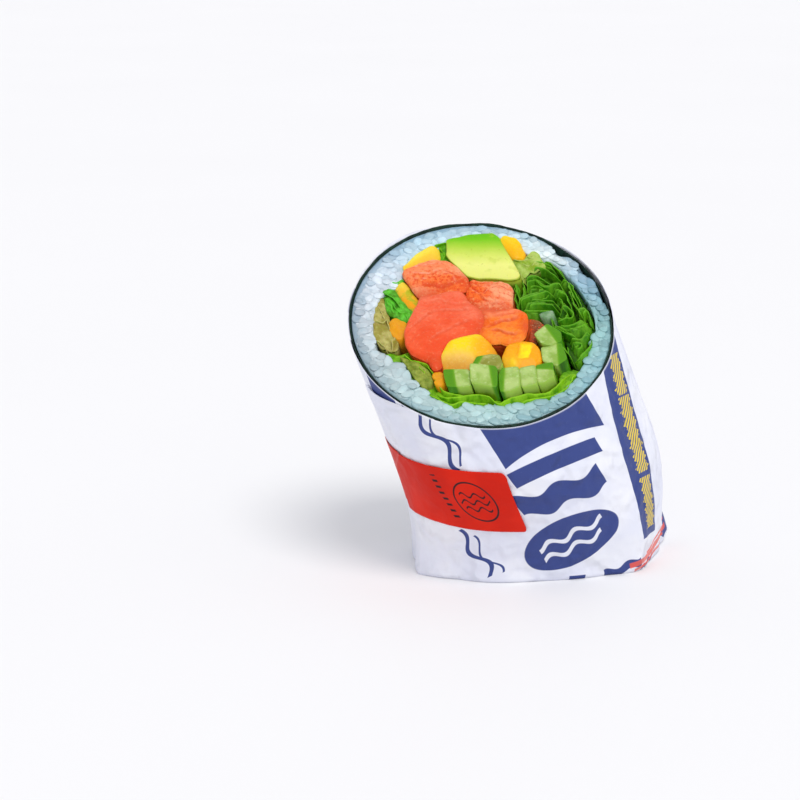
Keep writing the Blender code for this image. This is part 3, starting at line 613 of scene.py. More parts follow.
def salmon_material(name, fresh, deep, grain=0.25, pink=None, rise=(-7.0, 5.0), valley_shade=None):
    s = moist(name, 0.42, (1.0, 0.3, 0.12), coat=0.05, soak=0.12)
    fibres = s.noise(260, 6.0, 0.65, stretch=(0.6, 1.7, 1.0))
    cloud = s.noise(120, 3.0, 0.5)
    fine = s.noise(1300, 3.0, 0.6)
    base = s.mix(s.span(s.math("MULTIPLY_ADD", cloud, 0.6, s.times(fibres, 0.4)), 0.40, 0.60), deep, fresh)
    if pink:
        high = s.stir(s.data("plan", 1), cloud, 22.0)
        base = s.glaze(s.span(high, *rise), 0.85, base, pink)
    # Painted shade: darker, dappled red in the valley between the pieces of fish
    if valley_shade:
        x, y, wide, deep_in = valley_shade
        a = s.math("DIVIDE", s.minus(s.data("plan", 0), x), wide)
        b = s.math("DIVIDE", s.minus(s.data("plan", 1), y), deep_in)
        inside = s.span(s.stir(s.length(a, b), cloud, 1.4), 1.3, 0.5)
        base = s.glaze(inside, 0.85, base, (0.94, 0.15, 0.008))
        base = s.glaze(inside, s.span(fine, 0.50, 0.40), base, (0.74, 0.055, 0.004))
    # Painted shade: darker red where pieces of fish meet, in the creases of the folds, towards the front
    # piece's lower end and on the sides
    base = s.glaze(s.value("painted_shade"), s.span(cloud, 0.2, 0.55), base, (0.66, 0.060, 0.007))
    base = s.glaze(s.span(fine, 0.47, 0.36), 0.25 + grain, base, (0.78, 0.08, 0.010))
    # A pale fat line along each fold, with a painted highlight on its raised edge
    pale = s.glaze(s.value("fold"), 0.9, base, (0.96, 0.44, 0.30))
    speck = s.glaze(s.span(fine, 0.56, 0.72), grain * 1.4, pale, (0.95, 0.46, 0.22))
    # Painted shade: the fish darkens down its sides
    s.colour(s.mix(s.span(s.data("plan", 2), -0.4, -1.8), speck, (0.30, 0.035, 0.002)))
    s.bump(s.plus(fibres, s.times(fine, 0.4 + grain)), 0.6, 0.0008)
    return s.material


def mango_material(
    name, top, side, pale, way=(0.5, 0.87), span=(-2.5, 3.5), flat=False, stain=None, low=None
):
    """Fruit flesh: by a gradient across the plan, or else by its flat faces, coloured as lit and shaded
    copies of the flesh: painted light on the top face, painted shade on the front face. The flesh darkens
    down the sides as painted shade.
    """
    s = moist(name, 0.36, (1.0, 0.6, 0.1))
    soft = s.noise(200, 4.0, 0.55)
    fine = s.noise(1100, 3.0, 0.6)
    if flat:
        # Painted light and shade: the top face takes top, the front face pale, darker towards the front when
        # low is given, as a painted shadow; the other faces take side
        shaded_front = s.mix(s.span(s.data("plan", 1), -12.6, -16.6), pale, low or pale)
        base = s.mix(s.data("face", 0), side, top)
        base = s.mix(s.data("face", 1), base, shaded_front)
        base = s.glaze(s.span(soft, 0.45, 0.62), 0.35, base, side)
        base = s.glaze(s.span(fine, 0.46, 0.34), 0.3, base, pale)
        # Painted shade: darker down the sides
        base = s.glaze(s.span(s.data("plan", 2), -0.5, -2.2), 0.75, base, (0.66, 0.25, 0.008))
    else:
        t = s.plus(s.times(s.data("plan", 0), way[0]), s.times(s.data("plan", 1), way[1]))
        base = s.mix(s.span(s.stir(t, soft, 5.0), *span), side, top)
        # Painted shade: darker down the sides
        base = s.mix(s.span(s.data("plan", 2), 0.2, -3.0), base, pale)
    if stain:
        base = s.glaze(s.span(s.noise(330, 3.0, 0.5), 0.46, 0.60), 0.8, base, stain)
    s.colour(s.glaze(s.span(fine, 0.62, 0.76), 0.2, base, (0.93, 0.70, 0.12)))
    s.bump(s.plus(soft, s.times(fine, 0.4)), 0.5, 0.0006)
    return s.material


def cucumber_material(name, deep, light):
    s = moist(name, 0.3, (0.5, 1.0, 0.2), soak=0.3, coat=0.12)
    fine = s.noise(900, 4.0, 0.6)
    veins = s.noise(300, 3.0, 0.5, stretch=(1.0, 1.0, 0.35))
    flesh = s.mix(s.span(veins, 0.36, 0.60), deep, light)
    rim = s.mix(s.span(s.value("inner"), 0.0, 0.25), deep, flesh)
    ringed = s.glaze(s.span(fine, 0.56, 0.66), 0.35, rim, (0.64, 0.76, 0.38))
    # Painted shade: the sides dark green, lighter near the top
    side = s.mix(s.span(veins, 0.35, 0.65), (0.07, 0.15, 0.001), (0.15, 0.27, 0.006))
    side = s.mix(s.span(s.data("plan", 2), -2.8, 0.0), side, (0.31, 0.50, 0.07))
    walled = s.mix(s.value("wall"), ringed, side)
    rind = s.mix(s.value("rind"), (0.22, 0.45, 0.012), (0.085, 0.28, 0.002))
    skinned = s.mix(s.span(s.value("rind"), 0.0, 0.7), walled, rind)
    outer = s.times(s.value("rind"), s.value("wall"))
    dark = s.mix(s.span(veins, 0.35, 0.65), (0.02, 0.10, 0.001), (0.06, 0.26, 0.002))
    s.colour(s.mix(outer, skinned, dark))
    s.bump(fine, 0.3, 0.0004)
    return s.material


def avocado_material():
    s = moist("avocado", 0.45, (0.7, 1.0, 0.2), coat=0.03, shine=0.1)
    soft = s.noise(180, 4.0, 0.55)
    across = s.stir(s.data("plan", 1), soft, 2.2)
    band = s.ramp(
        s.math("MULTIPLY_ADD", across, 1 / 15.0, -12.0 / 15.0, clamp=True), (0.0, (0.74, 0.76, 0.19)),
        (0.25, (0.78, 0.80, 0.22)), (0.45, (0.62, 0.72, 0.12)), (0.64, (0.40, 0.62, 0.045)),
        (0.82, (0.17, 0.53, 0.004)), (1.0, (0.10, 0.44, 0.002)),
    )
    smudged = s.glaze(s.span(s.noise(300, 3.0, 0.5), 0.58, 0.70), 0.35, band, (0.46, 0.56, 0.04))
    specks = s.span(s.noise(1300, 2.0, 0.4), 0.68, 0.74)
    marked = s.glaze(specks, 0.4, smudged, (0.36, 0.30, 0.03))
    # The side: olive at the edge, darkening down as painted shade
    lip = s.mix(s.span(s.data("plan", 2), -0.5, -1.8), (0.34, 0.44, 0.03), (0.12, 0.22, 0.006))
    s.colour(s.mix(s.value("wall"), marked, lip))
    s.bump(s.noise(700, 4.0, 0.6), 0.25, 0.0004)
    return s.material


def leaf_material(name, dark, mid, light, crest=0.86):
    """Green leaf: painted shade low down, a painted highlight at its cut edge, with fine veins."""
    s = moist(name, 0.38, (0.3, 1.0, 0.1), soak=0.15, coat=0.0)
    veins = s.noise(500, 5.0, 0.65, stretch=(1.0, 1.0, 0.4))
    patch = s.noise(150, 3.0, 0.5)
    body = s.mix(s.span(s.plus(veins, s.times(patch, 0.6)), 0.62, 0.98), mid, light)
    # Painted shade: dark low down on the leaf
    low = s.mix(s.span(s.value("edge"), 0.55, -0.05), body, dark)
    # Painted highlight along the top edge
    s.colour(s.glaze(s.span(s.value("edge"), crest, 1.0), 0.75, low, light))
    s.bump(veins, 0.5, 0.0006)
    return s.material


def rice_material(name):
    """Moist rice; its colour follows the place round the roll, with the painted light and shade that its tint
    carries.
    """
    s = Shader(
        name, 0.3, Subsurface_Weight=0.15, Subsurface_Scale=0.001, Subsurface_Radius=(0.7, 0.9, 1.0),
        Coat_Weight=0.15, Coat_Roughness=0.2, Specular_IOR_Level=0.35,
    )
    tint = s.value("tint", "Vector")
    dark = s.mix(1.0, tint, (0.88, 0.92, 0.93), "MULTIPLY")
    s.colour(s.mix(s.span(s.noise(500), 0.32, 0.62), dark, tint))
    s.bump(s.noise(1300, 3.0, 0.6), 0.2, 0.0003)
    return s.material


def nori_material():
    s = Shader("nori", 0.5, Specular_IOR_Level=0.2)
    mesh = s.noise(700, 6.0, 0.7)
    s.colour(s.mix(s.span(mesh, 0.35, 0.7), (0.002, 0.012, 0.008), (0.010, 0.045, 0.028)))
    s.bump(mesh, 0.7, 0.0005)
    return s.material


# Fillings

def kind_of(name):
    return name.split("_")[0]


def beside(points, line):
    """Distance of plan points from a line, negative on its left, and how far along it they lie."""
    best, side, share = np.full(len(points), 1e9), np.ones(len(points)), np.zeros(len(points))
    for i, (a, b) in enumerate(zip(line[:-1], line[1:])):
        off, t = from_piece(points, a, b)
        away = np.linalg.norm(off, axis=1)
        near = away < best
        left = (b - a)[0] * off[:, 1] > (b - a)[1] * off[:, 0]
        best = np.where(near, away, best)
        side = np.where(near, np.where(left, -1.0, 1.0), side)
        share = np.where(near, (i + t) / (len(line) - 1), share)
    return best * side, share


def fold_curves(name):
    """The folds of a piece of fish as wandering curves."""
    curves = []
    for width, step, pale, line in FOLDS.get(name, ()):
        curve = smooth_path(line, 40)
        curves.append((width, step, pale, curve - 0.28 * rough(curve, 0.6, 3.0)[:, None]))
    return curves


def fold_relief(name, plan):
    """Height of the fish's flakes, how near each point is to a pale edge, which is a pale fat line with a
    painted highlight, and to a crease, where painted shade goes.
    """
    rise, near, dark = np.zeros((3, len(plan)))
    for width, step, pale, curve in fold_curves(name):
        off, share = beside(plan, curve)
        ends = smoothstep(share * 5) * smoothstep((1 - share) * 5)
        rise += ends * step * (0.2 + 0.5 * np.tanh(off / width)) * np.exp(-np.abs(off) / 2.0)
        up = off * np.sign(step)
        # Pale fat line with a painted highlight on the raised side of the step
        near = np.maximum(near, pale * ends * bell(up, width * 1.1, 0.12 + 0.5 * width))
        # The crease below a fold's step gets painted shade
        crease = ends * bell(up, -width * 1.2, 0.14 + 1.2 * width)
        dark = np.maximum(dark, crease * min(abs(step) * 1.4, 1.0))
    return rise, near * np.clip(0.5 + 1.3 * rough(plan, 0.9, 12.0), 0, 1), dark


def facets(name, plan):
    """Height of a fruit's flat faces, and which share of each point belongs to each face."""
    heights = np.column_stack([(plan - np.array(at)) @ np.array(slope) for at, slope in FACETS[name]])
    soft = np.exp(-heights / 0.34)
    return -0.12 * np.log(np.exp(-heights / 0.12).sum(1)), soft / soft.sum(1)[:, None]


def grain_of(plan, turn, along, across, seed):
    """Noise drawn out along a direction in the plan."""
    c, w = math.cos(math.radians(turn)), math.sin(math.radians(turn))
    u, v = plan.T
    return rough(np.column_stack([(u * c + v * w) * along, (v * c - u * w) * across]), 1.0, seed)


def salmon_relief(name, plan, inset, inner):
    rugged = {"salmon_right": 2.6, "salmon_back": 1.2, "salmon_tip": 1.1}.get(name, 0.6)
    way = {"salmon_back": 6.0, "salmon_front": 32.0, "salmon_tip": 28.0}.get(name, 50.0)
    layers = 0.5 - np.abs(grain_of(plan, way, 0.14, 0.52, 4.0))
    soft = 0.24 * rough(plan, 0.28, 5.0) + 0.26 * layers + 0.08 * grain_of(plan, way, 0.4, 1.5, 7.0)
    soft += rugged * (
        0.13 * rough(plan, 0.75, 9.0) + 0.11 * rough(plan, 1.5, 2.0) + 0.05 * rough(plan, 2.9, 6.0))
    rise, near, dark = fold_relief(name, plan)
    return inner * soft + smoothstep(inset / 0.5) * rise, near, dark


def mango_relief(name, plan, inner):
    shape = facets(name, plan)[0] if name in FACETS else 0.5 * np.abs(rough(plan, 0.36, 7.0))
    fibre = grain_of(plan, 60.0, 0.3, 1.6, 3.0)
    return shape + inner * (
        0.12 * rough(plan, 0.8, 3.0) + 0.08 * rough(plan, 1.9, 1.0) + 0.05 * fibre)


def relief(name, plan, inset):
    """Height of a filling's top over its flat level, by kind, and nearness to folds, for a pale fat line with
    a painted highlight, and to creases, for painted shade.
    """
    kind = kind_of(name)
    inner = smoothstep(inset / 0.9)
    if kind == "salmon":
        return salmon_relief(name, plan, inset, inner)
    if kind == "mango":
        rise = mango_relief(name, plan, inner)
    elif kind == "cucumber":
        rise = inner * (0.07 * rough(plan, 0.7, 4.0) + 0.03 * rough(plan, 2.4, 4.0) - 0.06)
    elif kind == "avocado":
        rise = inner * (0.14 * rough(plan, 0.35, 6.0) + 0.03 * rough(plan, 1.6, 6.0))
    else:
        rise = 0.5 * rough(plan, 0.8, 8.0)
    return rise, np.zeros(len(plan)), np.zeros(len(plan))


# By kind: how round the edge of a top is, how much the corners of its outline are cut, how far it
# spreads past its solid, and how far apart its points lie
ROUND = {"salmon": 0.7, "mango": 0.32, "cucumber": 0.14, "avocado": 0.25, "leaf": 0.3}
CORNER = {"salmon": 0.12, "mango": 0.09, "cucumber": 0.04, "avocado": 0.03, "leaf": 0.12}
GROW = {"salmon": 0.6, "mango": 0.4, "cucumber": 0.08, "avocado": 0.25, "leaf": 0.5}
SPACING = {"salmon": 0.24, "mango": 0.3, "cucumber": 0.5, "avocado": 0.5, "leaf": 0.5}
LEAF_LOWER = 0.2


def all_loops():
    """The outline of every filling and of the bundle of leaves."""
    made = {name: smooth_loop(c, 72, CORNER[kind_of(name)]) for name, (_, _, c) in FILLINGS.items()}
    made["heap"] = smooth_loop(HEAP, 120, 0.2)
    return made


def clearance(points, skip, kind=""):
    """Distance of plan points from the nearest outline of another piece."""
    best = np.full(len(points), 1e9)
    for name, loop in LOOPS.items():
        if name != skip and name.startswith(kind):
            best = np.minimum(best, distance_to(points, closed(loop)))
    return best


def fill_reach(angles):
    """How far out the fillings lie, at angles in degrees."""
    points = np.vstack([*LOOPS.values()])
    at = np.degrees(np.arctan2(points[:, 1], points[:, 0]))
    far = np.linalg.norm(points, axis=1)
    near = [np.abs((at - a + 180) % 360 - 180) < 3 for a in np.asarray(angles) % 360]
    return np.array([far[chosen].max() for chosen in near])


def blur(values, reach):
    """Circular moving average."""
    return sum(np.roll(values, k) for k in range(-reach, reach + 1)) / (2 * reach + 1)


def outward(loop):
    """Unit directions out of a closed outline, at its points."""
    tangent = np.roll(loop, -1, 0) - np.roll(loop, 1, 0)
    normal = np.column_stack([tangent[:, 1], -tangent[:, 0]])
    normal /= np.linalg.norm(normal, axis=1)[:, None]
    area = np.sum(loop[:, 0] * np.roll(loop[:, 1], -1) - loop[:, 1] * np.roll(loop[:, 0], -1))
    return normal * np.sign(area)


def within(points, loop):
    """Which plan points lie inside a closed outline."""
    a, b = loop, np.roll(loop, -1, 0)
    u, v = points[:, 0][:, None], points[:, 1][:, None]
    crossed = ((a[:, 1] > v) != (b[:, 1] > v)) & (
        u < (b[:, 0] - a[:, 0]) * (v - a[:, 1]) / (b[:, 1] - a[:, 1] + 1e-12) + a[:, 0])
    return crossed.sum(1) % 2 == 1


def fill_outline(loop, spacing, insets, creases=()):
    """Triangles inside a closed outline: points, faces, and where the outline's own points went."""
    normal = outward(loop)
    points = [*loop]
    for inset in insets:
        points += [*(loop - normal * inset)]
    low, high = loop.min(0), loop.max(0)
    draw = np.random.default_rng(3)
    grid = [
        (u, v) for j, v in enumerate(np.arange(low[1], high[1], spacing * 0.866))
        for u in np.arange(low[0] + (j % 2) * spacing / 2, high[0], spacing)
    ]
    grid = np.array(grid) + draw.uniform(-0.12, 0.12, (len(grid), 2)) * spacing
    margin = insets[-1] + spacing * 0.5
    keep = within(grid, loop) & (distance_to(grid, closed(loop)) > margin)
    for width, _, _, curve in creases:
        keep &= distance_to(grid, curve) > width + 0.1
        along = np.gradient(curve, axis=0)
        across = np.column_stack([along[:, 1], -along[:, 0]]) / np.linalg.norm(along, axis=1)[:, None]
        for off in (-1.0, -0.35, 0.35, 1.0):
            rail = curve + across * off * width
            points += [*rail[within(rail, loop) & (distance_to(rail, closed(loop)) > margin)]]
    points += [*grid[keep]]
    found = delaunay_2d_cdt([Vector(q) for q in points], [], [list(range(len(loop)))], 1, 1e-5)
    verts = np.array([tuple(v) for v in found[0]])
    home = {origin: index for index, origins in enumerate(found[3]) for origin in origins}
    return verts, [tuple(f) for f in found[2]], [home[i] for i in range(len(loop))]


def growth(name, loop):
    """How far a filling's top spreads past its solid, over the gap to the next piece."""
    kind = kind_of(name)
    gap, full = clearance(loop, name), GROW[kind]
    grow = np.where(gap < 2.4, np.clip(0.5 * gap + 0.1, 0.1, full + 0.5), full)
    if kind == "salmon":
        grow = grow + 0.5 * blur(1 - smoothstep((clearance(loop, name, "salmon") - 0.3) / 1.6), 3)
    if kind == "cucumber":
        return blur(np.minimum(grow, 0.35), 9)
    return blur(grow, 3)


def mango_scars(plan, h, shares):
    """The hollow, groove and knob in the top of the right piece of mango."""
    u, v = (plan - np.array((11.3, -12.0)) + 0.5 * rough(plan, 0.6, 3.0)[:, None]).T
    hole = smoothstep((1.6 - np.abs(u - 0.2 * v)) / 0.7) * smoothstep((2.7 - np.abs(v)) / 0.8)
    groove = bell(plan[:, 0] - 9.5 - 0.2 * (plan[:, 1] + 12), 0, 0.35)
    groove = groove * smoothstep(2.4 - np.abs(plan[:, 1] + 12.4))
    knob = np.exp(-(((plan - np.array((7.9, -15.4))) ** 2).sum(1)) / 0.9)
    # The hollow and the knob take the bright top colour, a painted highlight
    shares[:, 0] = np.maximum(hole, np.clip(knob * 1.4, 0, 1))
    return h - 0.40 * hole + 0.45 * knob - 0.45 * groove * (0.7 + 0.6 * rough(plan, 1.6, 9.0))


def top_shape(name, plan, inset, core):
    """A top's heights, nearness to folds for a pale fat line with a painted highlight, the painted shade at
    seams and creases, and the shares of its flat faces, which carry their painted light and shade.
    """
    lift, dome, _ = FILLINGS[name]
    kind = kind_of(name)
    if kind == "leaf":
        lift -= LEAF_LOWER
    edge = ROUND[kind]
    tight, painted_shade = np.full(len(plan), edge), np.zeros(len(plan))
    if kind == "salmon":
        # Painted shade near the seams with other pieces of fish
        seam = clearance(plan, name, "salmon") - 0.2
        painted_shade = 1 - smoothstep(seam / (4.6 if name == "salmon_back" else 2.6))
        tight = edge * (1 - 0.72 * (1 - smoothstep(seam / 1.8)))
    over = np.maximum(tight - inset * tight / edge, 0)
    drop = tight - np.sqrt(np.maximum(tight**2 - over**2, 0))
    up, near, dark = relief(name, plan, inset)
    painted_shade = np.maximum(0.8 * painted_shade, dark)
    # Painted shade towards the lower end of the front piece
    if name == "salmon_front":
        painted_shade = np.maximum(painted_shade * 0.8, 0.9 * smoothstep((-12.5 - plan[:, 1]) / 4.0))
    slope = np.array(TILTS.get(name, (0.0, 0.0)))
    h = lift - drop + dome * (1 - np.exp(-inset / 2.0)) + up + (plan - core) @ slope
    shares = facets(name, plan)[1] if name in FACETS else np.zeros((len(plan), 3))
    # The front mango's last two faces take the bright top colour too, as painted light
    if name == "mango_front":
        shares[:, 0] += shares[:, 3:].sum(1)
    if name == "mango_right":
        h = mango_scars(plan, h, shares)
    return h, near, painted_shade, shares


def column_sides(loop, wide, rim_h):
    """Rings of points from a top's edge down the roll, where the column narrows to its solid."""
    narrowing = ((0.5, 1.0), (1.4, 0.9), (3.4, 0.5), (7.0, 0.0))
    side = [np.column_stack([loop + (wide - loop) * part, rim_h - depth]) for depth, part in narrowing]
    cut = cut_height(*loop.T)
    return side + [np.column_stack([loop, z - cut]) for z in (BEND_HEIGHT, 30.0, 22.0, 12.0, BOTTOM)]


def lump(name, mat):
    """A filling: a column down the roll with a rough top that meets the pieces next to it."""
    lift, _, corners = FILLINGS[name]
    kind = kind_of(name)
    if kind == "leaf":
        lift -= LEAF_LOWER
    around = 200 if name == "salmon_front" else 130 if kind in ("salmon", "avocado") else 90
    loop = smooth_loop(corners, around, CORNER[kind])
    core = loop.mean(0)
    wide = loop + outward(loop) * growth(name, loop)[:, None]
    insets = [ROUND[kind] * f for f in (0.08, 0.22, 0.42, 0.68, 1.0)]
    plan, faces, rim_index = fill_outline(wide, SPACING[kind], insets, fold_curves(name))
    inset = distance_to(plan, closed(wide))
    h, near, painted_shade, shares = top_shape(name, plan, inset, core)
    side = column_sides(loop, wide, h[rim_index])
    points = np.vstack([np.column_stack([plan, h])] + side)
    upper = rim_index
    for r in range(len(side)):
        lower = [len(plan) + r * around + i for i in range(around)]
        faces += [*zip(upper, lower, lower[1:] + lower[:1], upper[1:] + upper[:1])]
        upper = lower
    faces.append(tuple(upper))
    rise = points[:, 2] - lift
    if kind == "leaf":
        # Edge values: lower is darker, as painted shade
        value = np.clip(0.55 + rise / 3.0, 0, 0.8) + 0.12 * rough(points[:, :2], 0.9, 1.0)
        bits = [
            leaf_strip(path, -2.4, height, flare, 0.2, seed + 120)
            for seed, (height, flare, path) in enumerate(BITS[name])
        ]
        return add_leaves(name + "_cut", [(points, faces, value)] + bits, mat, name)

    def down(values, under):
        """Values of the top, and one value for the sides."""
        return np.concatenate([values, np.full((around * len(side), *values.shape[1:]), under)])

    data = {
        "plan": np.column_stack([points[:, :2], rise]), "fold": down(near, 0.0),
        "inner": np.clip(down(inset, 0.0) / 2.2, 0, 1), "face": down(shares[:, :3], 0.0),
        "wall": down(1 - smoothstep(inset / (0.3 if kind == "avocado" else 0.07)), 1.0),
        # Painted shade: full on the sides
        "painted_shade": down(painted_shade, 1.0),
    }
    if name in RINDS:
        du, dv, start = RINDS[name]
        along = ((points[:, :2] - core) @ np.array([du, dv]) / math.hypot(du, dv))
        along = along / np.linalg.norm(loop - core, axis=1).max()
        data["rind"] = smoothstep((along - start) / 0.3)
    smooth = {"cucumber": 42, "mango": 60}.get(kind, 180)
    return add_mesh(name + "_cut", on_cut(*points.T), faces, mat, name, data, smooth)


LOOPS = all_loops()


def make_fillings():
    amber = mango_material(
        "mango_amber", (0.78, 0.52, 0.03), (0.76, 0.32, 0.006), (0.50, 0.20, 0.01), (0.2, 0.9), (-6.0, 8.0))
    looks = {
        "avocado": avocado_material(),
        "salmon_front": salmon_material(
            "salmon_fresh", (0.87, 0.108, 0.032), (0.82, 0.072, 0.013), 0.15, (0.92, 0.19, 0.095)),
        "salmon_back": salmon_material(
            "salmon_back", (0.95, 0.38, 0.19), (0.92, 0.23, 0.08), 0.3, valley_shade=(-7.5, 9.0, 9.0, 3.4)),
        # Grainy fish, with painted shade in its valley
        "salmon_right": salmon_material(
            "salmon_grainy_valley_shade", (0.95, 0.38, 0.19), (0.88, 0.17, 0.05), 0.4, valley_shade=(-1.2, 7.0, 4.0, 5.5)),
        "salmon_tip": salmon_material(
            "salmon_orange", (0.92, 0.24, 0.018), (0.92, 0.15, 0.004), 0.15, (0.95, 0.25, 0.11),
            (-4.5, 1.0)),
        "salmon_side": salmon_material("salmon_dull", (0.30, 0.10, 0.035), (0.16, 0.035, 0.008), 0.5),
        "mango_front": mango_material(
            "mango_front", (0.89, 0.68, 0.001), (0.90, 0.40, 0.004), (0.86, 0.60, 0.16), flat=True,
            # low: darker amber towards the front of the front face, a painted shadow
            low=(0.62, 0.30, 0.02)),
        "mango_right": mango_material(
            "mango_right", (0.90, 0.78, 0.004), (0.90, 0.36, 0.001), (0.88, 0.50, 0.02), flat=True),
        "mango_corner": mango_material(
            "mango_gold", (0.89, 0.66, 0.002), (0.89, 0.46, 0.002), (0.86, 0.40, 0.004), flat=True),
        "mango_back": mango_material(
            "mango_pale", (0.91, 0.76, 0.06), (0.89, 0.60, 0.03), (0.86, 0.48, 0.03), flat=True),
        "mango_left": mango_material(
            "mango_stained", (0.84, 0.62, 0.05), (0.86, 0.34, 0.004), (0.50, 0.30, 0.01), (0.1, 1.0),
            (2.0, 8.5), stain=(0.36, 0.45, 0.01)),
        "mango_small": amber, "mango_sliver": amber,
        "cucumber_f": cucumber_material("cucumber_murky", (0.25, 0.26, 0.035), (0.42, 0.42, 0.12)),
        "leaf_bright": leaf_material(
            "leaf_bright", (0.015, 0.09, 0.001), (0.055, 0.21, 0.002), (0.13, 0.62, 0.04), crest=0.68),
        "leaf_back": leaf_material(
            "leaf_back", (0.015, 0.09, 0.002), (0.08, 0.32, 0.004), (0.18, 0.55, 0.01)),
        "leaf_side": leaf_material(
            "leaf_side", (0.08, 0.15, 0.003), (0.22, 0.36, 0.010), (0.44, 0.58, 0.13)),
        "leaf_pale": leaf_material(
            "leaf_pale", (0.13, 0.11, 0.008), (0.30, 0.26, 0.04), (0.54, 0.50, 0.17)),
    }
    stick = cucumber_material("cucumber", (0.27, 0.43, 0.07), (0.43, 0.57, 0.18))
    for name in FILLINGS:
        lump(name, looks.get(name, stick))


# Lettuce

def leaf_strip(path, base, height, flare, ruffle, seed, thick=0.26, rows=6):
    """A thin wavy leaf that stands on a path in the plan; returns points, faces and edge values, which set
    its painted shade low down and its painted highlight at the top.
    """
    run = np.linalg.norm(np.diff(np.asarray(path, float), axis=0), axis=1).sum()
    count = max(12, int(run * 3.4))
    line = smooth_path(path, count)
    along = np.gradient(line, axis=0)
    along /= np.maximum(np.linalg.norm(along, axis=1), 1e-6)[:, None]
    side = np.column_stack([along[:, 1], -along[:, 0]])
    share = np.linspace(0, 1, count)
    ends = smoothstep(share * 5) * smoothstep((1 - share) * 5)
    s = share * run
    swing = np.array([noise.noise((x * 0.32, seed * 3.7, 0.5)) for x in s])
    crimp = np.array([noise.noise((x * 0.95, seed * 2.9, 4.5)) for x in s])
    grid = []
    for face in (-0.5, 0.5):
        sheet = []
        for r in range(rows + 1):
            t = r / rows
            bend = flare * t * t * (0.8 + 1.6 * swing) + ruffle * t * crimp * 2.2
            off = bend + face * thick * (1.15 - 0.5 * t) * (0.35 + 0.65 * ends)
            tall = base + (height - base) * (0.55 + 0.45 * ends) + 0.55 * swing + 0.3 * crimp
            h = base + (tall - base) * (t - 0.10 * t**6)
            sheet.append(np.column_stack([line + side * off[:, None], h]))
        grid += sheet if face < 0 else sheet[::-1]
    faces = grid_faces(len(grid), count, ring=False, joined=True)
    last = count - 1
    for k in range(rows):
        j = len(grid) - 1 - k
        faces.append((k * count, (k + 1) * count, (j - 1) * count, j * count))
        faces.append((k * count + last, j * count + last, (j - 1) * count + last, (k + 1) * count + last))
    up = [r / rows for r in range(rows + 1)]
    edge = np.repeat(up + up[::-1], count)
    return np.vstack(grid), faces, edge


def add_leaves(name, parts, mat, node):
    """A piece joined from slabs and strips of leaf."""
    faces, start = [], 0
    for points, found, _ in parts:
        faces += [tuple(start + i for i in f) for f in found]
        start += len(points)
    points = np.vstack([p for p, _, _ in parts])
    data = {"plan": points, "edge": np.concatenate([edge for _, _, edge in parts])}
    return add_mesh(name, on_cut(*points.T), faces, mat, node, data)


def bed(corners, h, rise, edge, around=64, count=7, corner=0.2):
    """A low rough slab of leaf inside an outline."""
    loop = smooth_loop(corners, around, corner)
    core = loop.mean(0)
    cut = cut_height(*loop.T)
    rings = [np.column_stack([loop, z - cut]) for z in LEVELS]
    rings.append(np.column_stack([loop, np.full(around, h - 0.7)]))
    for share in np.linspace(0.97, 0.08, count):
        plan = core + (loop - core) * share
        bumps = 0.6 * rough(plan, 0.55, 2.0) + 0.35 * rough(plan, 1.3, 5.0)
        rings.append(np.column_stack([plan, h + rise * (bumps + 0.3) * (1 - share**8)]))
    points = np.vstack(rings)
    faces = grid_faces(len(rings), around)
    faces.append(tuple(reversed(range(around))))
    faces.append(tuple(range(len(points) - around, len(points))))
    # Edge values set the leaf's painted shade: lower points darker
    return points, faces, np.clip(edge + 0.25 * (points[:, 2] - h), 0, 0.8)


def make_heap():
    """The bundle of chopped leaves: a core coloured dark as painted shade, with folded leaves standing in it.
    """
    parts = [bed(HEAP, -2.2, 1.2, 0.12, 96, 14, 0.22)]
    for seed, (height, flare, path) in enumerate(LEAVES):
        parts.append(leaf_strip(path, -3.0, height - 0.5, flare, 0.16, seed))
        shift = np.array([0.45, -0.55]) if seed % 2 else np.array([-0.3, 0.6])
        path = np.asarray(path, float) * 0.985 + shift
        parts.append(leaf_strip(path, -3.0, height - 1.1, -flare * 0.6, 0.2, seed + 40, 0.22))
    green = leaf_material("lettuce_dark", (0.006, 0.035, 0.0008), (0.036, 0.20, 0.003), (0.13, 0.40, 0.012))
    add_leaves("heap_leaves", parts, green, "lettuce_heap")
    stem = leaf_material("leaf_stem", (0.05, 0.14, 0.05), (0.13, 0.27, 0.11), (0.30, 0.44, 0.26))
    add_leaves("heap_stem", [bed(PALE_STEM, 0.7, 0.35, 0.75, 40, 5)], stem, "lettuce_heap")


